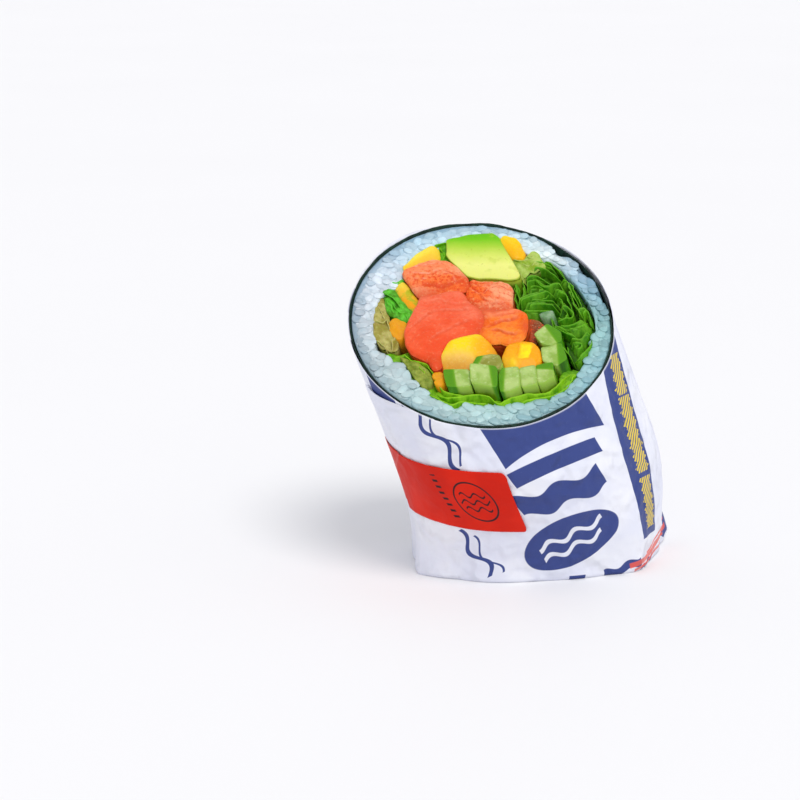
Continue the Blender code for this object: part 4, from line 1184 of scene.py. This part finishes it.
def make_lining():
    """The leaf between rice and cucumber: a low bed, with folds that stand in it."""
    angle = np.arange(196.0, 334.0, 1.0)
    close = smoothstep((angle - 196) / 10) * smoothstep((333 - angle) / 8)
    outer = periodic(RICE_INNER, angle) + 0.5
    inner = np.minimum(fill_reach(angle) - 0.6, outer - 0.8)
    inner = outer + (inner - outer) * close
    rows = []
    for share in np.linspace(0, 1, 9):
        plan = polar(inner + (outer - inner) * share, np.radians(angle))
        h = -1.35 + 0.5 * rough(plan, 0.7, 3.0) + 0.3 * rough(plan, 1.7, 1.0) + 0.25 * share
        rows.append(np.column_stack([plan, h]))
    rows += [np.column_stack([r[:, :2], np.full(len(angle), -6.0)]) for r in (rows[-1], rows[0])]
    count = len(angle)
    points = np.vstack(rows)
    faces = grid_faces(len(rows), count, ring=False, joined=True)
    faces.append(tuple(r * count for r in range(len(rows))))
    faces.append(tuple(r * count + count - 1 for r in reversed(range(len(rows)))))
    # Edge values: lower points darker, as painted shade
    parts = [(points, faces, np.clip(0.35 + 0.3 * (points[:, 2] + 1.3), 0, 0.7))]
    for seed, (height, flare, path) in enumerate(LINING):
        parts.append(leaf_strip(path, -4.0, height, flare, 0.2, seed + 80, 0.28, 7))
    green = leaf_material("lettuce_front", (0.012, 0.085, 0.001), (0.10, 0.34, 0.002), (0.27, 0.60, 0.015))
    add_leaves("lining_leaf", parts, green, "lettuce_lining")
    olive = leaf_material("leaf_olive", (0.04, 0.075, 0.002), (0.11, 0.17, 0.005), (0.32, 0.38, 0.06))
    add_leaves("lining_pale", [bed(OLIVE, -0.1, 0.7, 0.55, 72, 9, 0.1)], olive, "lettuce_lining")


# Rice and nori

def ring(radius, h):
    """Points once round the roll, at radii in the plan and heights over the cut."""
    return np.column_stack([polar(radius, TURN), np.broadcast_to(h, len(TURN))])


def level_ring(radius, z):
    """The same at one level."""
    return ring(radius, z - cut_height(*polar(radius, TURN).T))


def bare_patch(angle):
    """1 where the rice leaves the seaweed's inner face bare, at the back right."""
    marks = ((17, 3.0), (34, 3.5), (50, 4.0))
    return sum(bell((angle - at + 180) % 360 - 180, 0, wide) for at, wide in marks)


def rice_edge(angle):
    """Inner radius of the rice at the cut: it lies against the fillings, or else the front leaf."""
    inner = periodic(RICE_INNER, angle)
    a = np.asarray(angle) % 360
    front = smoothstep((a - 192) / 10) * smoothstep((338 - a) / 10)
    return inner + (np.minimum(inner, fill_reach(angle) + 0.1) - inner) * (1 - front)


def rice_tint(angle, radius, shade):
    """Colour of rice at an angle, with painted light and shade round the roll and painted shade towards the
    outer edge; shade darkens or lightens it.
    """
    tint = np.stack([periodic([(a, c[k]) for a, c in RICE_TINTS], angle) for k in range(3)], -1)
    # Painted shade: darker towards the outer edge
    outer = smoothstep((radius - 28.6) / 2.4) * (0.97 + 0.2 * np.cos(np.radians(angle - 115)))
    outer = outer * (1 + 0.28 * bell(angle, 296, 20) + 0.2 * bell(angle, 168, 24))
    outer_shade = 1 - outer[..., None] * np.array([0.45, 0.37, 0.31])
    return np.clip(tint * outer_shade * np.asarray(shade)[..., None], 0.0, 0.96)


def make_rice_core():
    """The body of the rice, under its grains."""
    edge = blur(rice_edge(DEGREES), 2)
    low, high = periodic(RICE_INNER, DEGREES) + 0.15, NORI_IN - 0.2
    bare = np.minimum(bare_patch(DEGREES), 1)
    rings = [level_ring(high, z) for z in LEVELS]
    rings += [ring(high, -4.5), ring(high, -0.6 - 2.6 * bare)]
    for share in np.linspace(0.06, 0.95, 12):
        radius = high + (edge - high) * share
        plan = polar(radius, TURN)
        bumps = 0.18 * rough(plan, 0.5, 3.0) + 0.15 * rough(plan, 1.1, 8.0)
        rings.append(ring(radius, -0.4 + bumps - 2.6 * bare * np.clip(1 - share * 2.4, 0, 1)))
    rings += [ring(edge, -1.0), ring(np.minimum(edge, low), -3.0), ring(low, -7.0)]
    rings += [level_ring(low, z) for z in reversed(LEVELS)]
    points = np.vstack(rings)
    faces = grid_faces(len(rings), len(TURN), joined=True)
    radius = np.hypot(points[:, 0], points[:, 1])
    # Painted shade: the core darker lower down
    shade = 0.96 + 0.08 * np.clip(points[:, 2] + 0.4, -4, 2)
    data = {"tint": rice_tint(np.tile(DEGREES, len(rings)), radius, shade)}
    add_mesh("rice_core", on_cut(*points.T), faces, rice_material("rice_body"), "rice", data)


def grain_template(rings=7, sides=10):
    """A cooked grain along X, one unit long and wide: blunt ends and a faint bend."""
    points = [(-0.5, 0, 0)]
    for i in range(1, rings):
        x = -0.5 * math.cos(math.pi * i / rings)
        r = 0.5 * (1 - abs(2 * x) ** 2.5) ** 0.46
        for k in range(sides):
            a = 2 * math.pi * k / sides
            points.append((x, r * math.cos(a) + 0.10 * (4 * x * x - 0.5), r * math.sin(a)))
    points.append((0.5, 0, 0))
    faces = [(0, 1 + (k + 1) % sides, 1 + k) for k in range(sides)]
    for i in range(rings - 2):
        a, b = 1 + i * sides, 1 + (i + 1) * sides
        faces += [(a + k, a + (k + 1) % sides, b + (k + 1) % sides, b + k) for k in range(sides)]
    top = len(points) - 1
    a = 1 + (rings - 2) * sides
    faces += [(top, a + k, a + (k + 1) % sides) for k in range(sides)]
    return np.array(points), faces


def soften(points, limit):
    """Presses what stands over the cut back to it, as the knife does."""
    x, y, z = (points / MM).T
    x, y = x - FRAME_SHIFT[0] - axis_x(z), y - FRAME_SHIFT[1]
    u = (x - LEAN * SLOPE_V * y) / (1 + LEAN * SLOPE_U)
    over = z - cut_height(u, y) - limit
    start, give = -0.4, 0.24
    pressed = np.where(over > start, start + (over - start) * give, over)
    made = points.copy()
    made[:, 2] += (pressed - over) * MM
    return made


def make_grains():
    """Cooked grains at the cut, lying every way, pressed flat by the knife."""
    draw = random.Random(11)
    shape, faces = grain_template()
    edges = blur(rice_edge(DEGREES), 2)
    verts, found, tints = [], [], []

    def sow(count, spacing, h_low, h_high, front=False):
        placed = np.zeros((0, 2))
        for _ in range(count * 25):
            if len(placed) >= count:
                break
            angle = draw.uniform(204, 352) if front else draw.uniform(0, 360)
            low = edges[int(angle)]
            bare = float(min(bare_patch(np.array(angle)), 1.0))
            high = NORI_IN - 0.15 - 2.1 * bare
            width, length = draw.uniform(*GRAIN_WIDTH), draw.uniform(*GRAIN_LENGTH)
            way = Vector((draw.gauss(0, 1), draw.gauss(0, 1), draw.gauss(0, 0.75))).normalized()
            a = math.radians(angle)
            flat = abs(way.x * math.cos(a) + way.y * math.sin(a))
            reach = 0.5 * (width + (length - width) * flat)
            if high - low < 2 * reach:
                way = Vector((-math.sin(a), math.cos(a), draw.uniform(-1.5, 1.5))).normalized()
                reach = 0.5 * width
                if high - low < 2 * reach:
                    continue
            radius = draw.uniform(low + reach - 0.25, high - reach + 0.05)
            if front:
                radius = low + draw.uniform(-0.1, 0.7)
            u, v = radius * math.cos(a), radius * math.sin(a)
            if len(placed) and np.min(np.sum((placed - (u, v))**2, axis=1)) < spacing**2:
                continue
            placed = np.vstack([placed, (u, v)])
            h = draw.uniform(h_low, h_high)
            pose = way.to_track_quat("X", "Z").to_matrix().to_4x4()
            pose = Matrix.Translation(Vector(on_cut(u, v, h))) @ pose
            pose = pose @ Matrix.Diagonal((length * MM, width * MM, width * draw.uniform(0.85, 1) * MM, 1))
            m = np.array(pose)
            points = soften(shape @ m[:3, :3].T + m[:3, 3], draw.uniform(-0.05, 0.26))
            start = len(verts) * len(points)
            verts.append(points)
            found.extend(tuple(start + i for i in f) for f in faces)
            shade = np.full(len(points), draw.uniform(0.86, 1.14))
            tints.append(rice_tint(np.full(len(points), angle), np.full(len(points), radius), shade))

    sow(260, 1.7, -1.8, -1.2)
    sow(800, 1.36, -1.05, -0.6)
    sow(60, 1.8, -0.8, -0.3, front=True)
    data = {"tint": np.vstack(tints)}
    add_mesh("rice_grains", np.vstack(verts), found, rice_material("rice_grain"), "rice", data)


def make_nori():
    circle = polar(1, TURN)
    ragged = 0.22 * rough(circle, 5.0, 1.0) + 0.10 * rough(circle, 22.0, 4.0)
    wander = 0.12 * rough(circle, 2.5, 7.0) * 0.3
    rings = [level_ring(NORI_OUT, z) for z in LEVELS]
    rings += [
        ring(NORI_OUT, -2.0), ring(NORI_OUT - 0.06 + wander, ragged - 0.2),
        ring(NORI_OUT - 0.2 + wander, ragged - 0.13), ring(NORI_IN + 0.08 + wander, ragged - 0.2),
        ring(NORI_IN, -2.0),
    ]
    rings += [level_ring(NORI_IN, z) for z in reversed(LEVELS)]
    points = np.vstack(rings)
    faces = grid_faces(len(rings), len(TURN), joined=True)
    add_mesh("nori_cut", on_cut(*points.T), faces, nori_material(), "nori", {"plan": points})


# Paper

def tent(angle, centre, left, right):
    """1 at a fold's ridge, falling in straight lines to 0 on both sides."""
    off = (angle - centre + 180) % 360 - 180
    return np.clip(np.where(off < 0, 1 + off / left, 1 - off / right), 0, 1)


def skin(angle, z, out=0.0):
    """Points of the paper, moved out by a distance, at angles in degrees and heights."""
    angle, z, out = np.broadcast_arrays(np.asarray(angle, float), z, out)
    turn = np.radians(angle)
    radius = FACE_RADIUS + out
    x_top, y_top = section(radius * np.cos(turn), radius * np.sin(turn))
    foot = periodic(FOOT_RADII, angle) + out
    for size, fold, at, tall in FOOT_CORNERS:
        foot = foot + size * tent(angle, *fold) * np.clip(1 - np.abs(z - at) / tall, 0, 1)
    foot = foot - 0.5 * np.clip(1 - z / 0.6, 0, 1)
    share = foot_share(z)
    x = x_top * (1 - share) + foot * np.cos(turn) * share
    y = y_top * (1 - share) + (foot * np.sin(turn) + BASE_SHIFT_Y) * share
    return world(x + axis_x(z), y, z)


def loose_edge(level):
    """How many degrees the paper's loose edge lies past its seam, at a height."""
    return 13.0 * bell(level, 31.0, 4.5) - 1.0 * bell(level, 41.0, 3)


def near_seam(angle, fade):
    """1 at the seam, falling to 0 over some degrees of the outer layer."""
    return (1 - smoothstep((angle - SEAM) / fade)) * (angle < SEAM + SEAM_REACH)


def paper_rise(angle):
    """How far out the paper lies: the loose outer edge stands on the layer under it."""
    return STEP * near_seam(angle, FADE)


def rim(angle):
    """Height of the paper's cut edge; its loose corner is pulled down."""
    turn = np.radians(angle)
    ripple = 0.15 * rough(polar(4, turn), 1.0, 2.0)
    cut = cut_height(*polar(FACE_RADIUS, turn).T)
    return cut + periodic(PAPER_RIM, angle) + ripple - 3.9 * near_seam(angle, 34)


def crumple(angle, z):
    """Soft creases of the paper, in millimetres: long folds, fine wrinkles, pleats at the foot."""
    s = angle * PER_DEGREE
    flat = np.column_stack([s, z])
    long_ = rough(flat * np.array([0.09, 0.05]), 1.0, 3.0)
    mid = 0.5 - np.abs(rough(flat * np.array([0.16, 0.22]) + 0.4 * long_[:, None], 1.0, 8.0))
    fine = 0.5 - np.abs(rough(flat * np.array([0.45, 0.35]), 1.0, 5.0))
    pleat = np.sin(s * 0.55 + 1.3 * np.sin(s * 0.21)) * np.clip(1 - z / 7.0, 0, 1)
    return 0.20 * long_ + 0.34 * mid + 0.10 * fine + 0.25 * pleat


def make_paper():
    columns, rows = 900, 110
    straight = np.linspace(SEAM, SEAM + 360 + OVERLAP, columns)
    under_foot = -np.linspace(1, 0, 10, endpoint=False)
    shares = [*under_foot, *np.linspace(0, 1, rows)]
    points, data = [], []
    for share in shares:
        level = max(share, 0) * EDGE_LEVEL
        shift = loose_edge(level) + 4.0 * smoothstep((level - 42) / 4)
        angle = straight + shift * np.exp(-(straight - SEAM) / 16)
        top = rim(angle)
        z = np.maximum(share, 0) * top
        lift = 0.25 * bell(angle, SEAM, 8) * smoothstep((z - 34) / 10)
        lift = lift + 0.55 * bell(angle, 387, 20) * smoothstep((z - top + 4.5) / 4.5)
        edge = smoothstep((z - 0.2) / 3.0) * smoothstep((top - z + 1.5) / 4.0)
        folds = (crumple(angle, z) - 0.18) * (0.25 + 0.75 * edge) * smoothstep(z + 0.2)
        out = paper_rise(angle) + lift + folds
        for at, wide, depth in PAPER_HOLLOWS:
            out = out - depth * bell(angle, at, wide)
        under = angle > SEAM + 345
        out = np.where(under, 0.05, np.maximum(out, -0.26))
        p = skin(angle, z, out)
        if share < 0:
            middle = world(np.array(1.5), np.array(BASE_SHIFT_Y), np.array(0.0))
            near = np.clip(1 + share, 0.02, 1)
            p = middle + (p - middle) * near
            p[:, 2] = 0.10 * MM * (angle > SEAM + 360)
        points.append(p)
        bare = 1.0 if share < 0 else 0.85 if share == 1.0 else 0.0
        data.append(np.column_stack([angle * PER_DEGREE, z, np.full(columns, bare)]))
    faces, data = grid_faces(len(shares), columns, ring=False), {"print": np.vstack(data)}
    paper = add_mesh("paper_wrap", np.vstack(points), faces, paper_material(), "wrapper", data)
    thicken(paper, PAPER_THICK)


def make_label():
    columns, rows = 120, 36
    run = (LABEL_TO - LABEL_FROM) * PER_DEGREE
    corner = 1.2
    points, data = [], []
    for j in range(rows + 1):
        t = j / rows
        share = np.linspace(0, 1, columns)
        into = np.maximum(0.0, corner - np.minimum(share, 1 - share) * run)
        cut = corner - np.sqrt(np.maximum(corner**2 - into**2, 0))
        sag = 0.9 * np.sin(math.pi * share)
        low = LABEL_LOW[0] * (1 - share) + LABEL_LOW[1] * share + cut - sag
        high = LABEL_HIGH[0] * (1 - share) + LABEL_HIGH[1] * share - cut - sag
        z = low + (high - low) * t
        angle = LABEL_FROM + (LABEL_TO - LABEL_FROM) * share + 3.2 * (t - 0.55) * share**3
        over = STEP * (1 - smoothstep((np.maximum(angle, SEAM) - SEAM) / FADE)) * smoothstep(
            (angle - SEAM - loose_edge(z * 0.95) + 2.5) / 4)
        out = over + crumple(angle, z) * 0.7 + 0.27 - 0.25 * (1 - smoothstep((angle - LABEL_FROM) / 12))
        out = out - 0.09 * bell(angle, 266, 16)
        points.append(skin(angle, z, out))
        data.append(np.column_stack([angle * PER_DEGREE, z, np.full(columns, t)]))
    faces, data = grid_faces(rows + 1, columns, ring=False), {"print": np.vstack(data)}
    label = add_mesh("paper_label", np.vstack(points), faces, label_material(), "label", data)
    thicken(label, LABEL_THICK)


class Ink:
    """Plain shapes drawn on the paper's own flat coordinates, by arithmetic nodes.

    Each shape is a signed distance in millimetres, negative inside.
    """

    def __init__(self, shader, period=None):
        self.s = shader
        self.x = shader.data("print", 0)
        self.y = shader.data("print", 1)
        if period:
            start = PRINT_START * PER_DEGREE
            self.x = shader.math("WRAP", self.x, start + period, start)

    def turned(self, angle, z, tilt, bow=0.0):
        """Coordinates from a centre, turned by degrees and bent by a bow."""
        s = self.s
        dx, dy = s.minus(self.x, angle * PER_DEGREE), s.minus(self.y, z)
        c, w = math.cos(math.radians(tilt)), math.sin(math.radians(tilt))
        along = s.plus(s.times(dx, c), s.times(dy, w))
        across = s.minus(s.times(dy, c), s.times(dx, w))
        if bow:
            across = s.plus(across, s.times(s.times(along, along), bow))
        return along, across

    def fill(self, distance):
        """1 inside a shape."""
        return self.s.math("MULTIPLY_ADD", distance, -9.0, 0.5, clamp=True)

    def box(self, along, half_long, across, half_wide):
        s = self.s
        long_side = s.minus(s.math("ABSOLUTE", along), half_long)
        return s.math("MAXIMUM", long_side, s.minus(s.math("ABSOLUTE", across), half_wide))

    def bar(self, angle, z, tilt, half_long, half_wide, bow=0.0):
        along, across = self.turned(angle, z, tilt, bow)
        return self.box(along, half_long, across, half_wide)

    def oval(self, angle, z, tilt, half_long, half_wide):
        s = self.s
        along, across = self.turned(angle, z, tilt)
        size = s.length(s.math("DIVIDE", along, half_long), s.math("DIVIDE", across, half_wide))
        return s.times(s.minus(size, 1.0), min(half_long, half_wide))

    def wave(self, angle, z, tilt, half_long, size, pace, half_wide, shift=0.0):
        s = self.s
        along, across = self.turned(angle, z, tilt)
        swing = s.times(s.math("SINE", s.math("MULTIPLY_ADD", along, pace, shift)), size)
        return self.box(along, half_long, s.times(s.minus(across, swing), 0.75), half_wide)

    def union(self, *shapes):
        made = shapes[0]
        for shape in shapes[1:]:
            made = self.s.math("MINIMUM", made, shape)
        return made

    def overlap(self, *shapes):
        made = shapes[0]
        for shape in shapes[1:]:
            made = self.s.math("MAXIMUM", made, shape)
        return made

    def less(self, shape, *holes):
        return self.overlap(shape, *(self.s.times(hole, -1.0) for hole in holes))


def navy_print(ink, once):
    """The dark blue print; what the ink of once draws isn't repeated round the back."""
    field = ink.less(
        ink.oval(287.8, 10.4, 19.0, 15.6, 6.1), ink.wave(288.0, 12.0, 19.0, 11.0, 0.8, 0.7, 0.42),
        ink.wave(288.0, 8.6, 19.0, 10.0, 0.8, 0.7, 0.42, 0.6))
    strip = ink.overlap(ink.bar(*STRIP, 46.0, 5.0, STRIP_BOW), ink.s.minus(7.5, ink.y))
    block = ink.bar(292.5, 44.5, 15.0, 14.6, 8.4, 0.012)
    bands = ink.union(
        ink.bar(294.0, 31.3, 15.5, 12.6, 1.85, 0.006), ink.wave(291.5, 23.0, 15.0, 12.6, 0.9, 0.5, 1.9, 1.2))
    brush = ink.union(
        ink.wave(246.5, 37.5, 118.0, 8.6, 1.9, 0.66, 0.55),
        ink.wave(250.5, 37.5, 118.0, 7.0, 1.9, 0.66, 0.30, 0.4),
        ink.wave(240.5, 7.4, 118.0, 6.2, 1.6, 0.74, 0.52, 1.0),
        ink.wave(245.0, 7.0, 118.0, 5.2, 1.6, 0.74, 0.26, 1.4))
    foot = ink.union(
        ink.bar(288.0, 0.5, 0.0, 2.6, 0.55), ink.wave(314.0, 1.5, 14.0, 5.8, 0.5, 0.9, 0.8),
        once.wave(372.5, 5.6, 64.0, 4.0, 0.4, 1.2, 1.3), once.wave(333.0, 1.0, 6.0, 5.0, 0.35, 1.4, 0.4))
    inner = once.union(once.bar(581.0, 50.0, 90.0, 6.2, 5.2), once.bar(594.6, 46.0, 84.0, 5.0, 0.28))
    return ink.union(block, bands, field, strip, brush, foot, inner)


def yellow_hatch(ink):
    """Slanted ticks along the strip, with ragged ends and gaps."""
    s = ink.s
    along, across = ink.turned(*STRIP, STRIP_BOW)
    ticks = s.minus(s.away(s.math("WRAP", s.plus(across, along), 1.25, 0.0), 0.62), 0.40)
    ragged = s.times(s.math("SINE", s.times(along, 2.3)), 0.5)
    ragged = s.plus(ragged, s.times(s.math("SINE", s.times(along, 5.9)), 0.3))
    reach = s.minus(s.math("ABSOLUTE", s.plus(across, 1.2)), s.plus(ragged, 2.5))
    ends = s.minus(s.away(along, 9.0), 21.5)
    slow = s.times(s.math("SINE", s.math("MULTIPLY_ADD", along, 0.37, 1.0)), 0.4)
    slow = s.plus(slow, s.math("SINE", s.times(along, 0.97)))
    gaps = s.times(s.minus(slow, 1.22), 4.0)
    return ink.overlap(ticks, reach, ends, gaps)


def paper_material():
    s = Shader("paper", 0.5, Specular_IOR_Level=0.35)
    ink, once = Ink(s, 180 * PER_DEGREE), Ink(s)
    line = ink.bar(364.5, 32.0, 90.0, 24.0, 0.16)
    red = once.union(
        once.wave(345.0, 3.3, 6.0, 16.0, 0.3, 0.35, 0.5),
        once.wave(344.0, 1.7, 5.0, 14.0, 0.25, 0.5, 0.3, 1.0),
        once.wave(352.0, 5.2, 9.0, 11.0, 0.3, 0.4, 0.26, 2.0))
    fibre = s.noise(900, 5.0, 0.7)
    white = s.mix(s.span(s.noise(70), 0.35, 0.7), (0.77, 0.79, 0.90), (0.85, 0.86, 0.92))
    ridge = s.away(s.noise(52, 3.0, 0.55), 0.5)
    # Painted shade: darker lavender along the creases
    white = s.glaze(s.span(ridge, 0.05, 0.0), 0.18, white, (0.66, 0.67, 0.84))
    rubbed = s.glaze(s.span(fibre, 0.60, 0.8), 0.35, NAVY, (0.12, 0.16, 0.40))
    inked = s.mix(ink.fill(navy_print(ink, once)), white, rubbed)
    inked = s.glaze(ink.fill(line), 0.6, inked, (0.35, 0.30, 0.60))
    inked = s.mix(ink.fill(yellow_hatch(ink)), inked, (0.80, 0.60, 0.06))
    inked = s.glaze(ink.fill(red), 0.85, inked, (0.80, 0.10, 0.06))
    s.colour(s.mix(s.data("print", 2), inked, white))
    creased = s.times(s.span(ridge, 0.0, 0.12), 6.0)
    s.bump(s.plus(s.math("MULTIPLY_ADD", fibre, 0.4, creased), s.noise(240, 4.0, 0.6)), 0.45, 0.0003)
    return s.material


def label_material():
    s = Shader("label", 0.45, Specular_IOR_Level=0.15)
    ink = Ink(s)
    red = s.mix(s.span(s.noise(90), 0.35, 0.7), (0.62, 0.012, 0.002), (0.74, 0.018, 0.003))
    circle = s.minus(s.math("ABSOLUTE", ink.oval(253.0, 21.6, 0.0, 5.0, 5.0)), 0.20)
    waves = [
        ink.wave(253.0, z, 0.0, half_long, 0.55, 1.9, 0.17)
        for z, half_long in ((23.3, 3.3), (21.5, 3.9), (19.7, 3.3))
    ]
    dashes = s.minus(s.away(s.math("WRAP", ink.y, 1.5, 0.0), 0.75), 0.3)
    dashes = ink.overlap(dashes, ink.bar(239.0, 22.2, 96.0, 5.6, 0.75))
    s.colour(s.mix(ink.fill(ink.union(circle, *waves, dashes)), red, (0.03, 0.012, 0.015)))
    s.bump(s.noise(1000, 4.0, 0.7), 0.25, 0.0002)
    return s.material


# Stage

def make_floor():
    mesh = bpy.data.meshes.new("floor")
    half = 3.0
    corners = [(-half, -half, 0), (half, -half, 0), (half, half, 0), (-half, half, 0)]
    mesh.from_pydata(corners, [], [(0, 1, 2, 3)])
    floor = bpy.data.objects.new("floor", mesh)
    bpy.context.scene.collection.objects.link(floor)
    s = Shader("floor", 0.6, Specular_IOR_Level=0.2)
    s.colour(s.mix(s.noise(6, 2.0, 0.5), (0.85, 0.85, 0.86), (0.87, 0.87, 0.88)))
    mesh.materials.append(s.material)


def make_light():
    backdrop = bpy.data.worlds.new("light")
    backdrop.use_nodes = True
    background = backdrop.node_tree.nodes["Background"].inputs
    background["Color"].default_value = (0.955, 0.96, 1.0, 1.0)
    background["Strength"].default_value = 0.80
    bpy.context.scene.world = backdrop
    lamp = bpy.data.lights.new("key", "SUN")
    lamp.energy = 1.35
    lamp.angle = math.radians(28)
    lamp.color = (1.0, 0.985, 0.95)
    key = bpy.data.objects.new("key", lamp)
    key.rotation_euler = Vector((0.28, -0.45, 1.0)).to_track_quat("Z", "Y").to_euler()
    bpy.context.scene.collection.objects.link(key)
    bpy.context.scene.view_settings.view_transform = "Standard"


def make_camera():
    """The camera that was fitted to the photo, 0.6 m from the roll's foot."""
    picture, focal, right, below = 800, 2400.0, 139, 153
    down, distance = math.radians(CAMERA_DOWN), 0.6
    forward = Vector((0, math.cos(down), -math.sin(down)))
    up = Vector((0, math.sin(down), math.cos(down)))
    spot = -forward * distance - Vector((1, 0, 0)) * (right / focal * distance)
    spot += up * (below / focal * distance)
    spot += Vector((FRAME_SHIFT[0] * MM, FRAME_SHIFT[1] * MM, 0))
    lens = bpy.data.cameras.new("camera")
    lens.sensor_width = 36.0
    lens.lens = lens.sensor_width * focal / picture
    camera = bpy.data.objects.new("camera", lens)
    camera.location = spot
    camera.rotation_euler = (math.radians(90 - CAMERA_DOWN), 0, 0)
    bpy.context.scene.collection.objects.link(camera)
    bpy.context.scene.camera = camera


make_camera()
make_floor()
make_light()
make_paper()
make_label()
make_nori()
make_rice_core()
make_grains()
make_fillings()
make_heap()
make_lining()
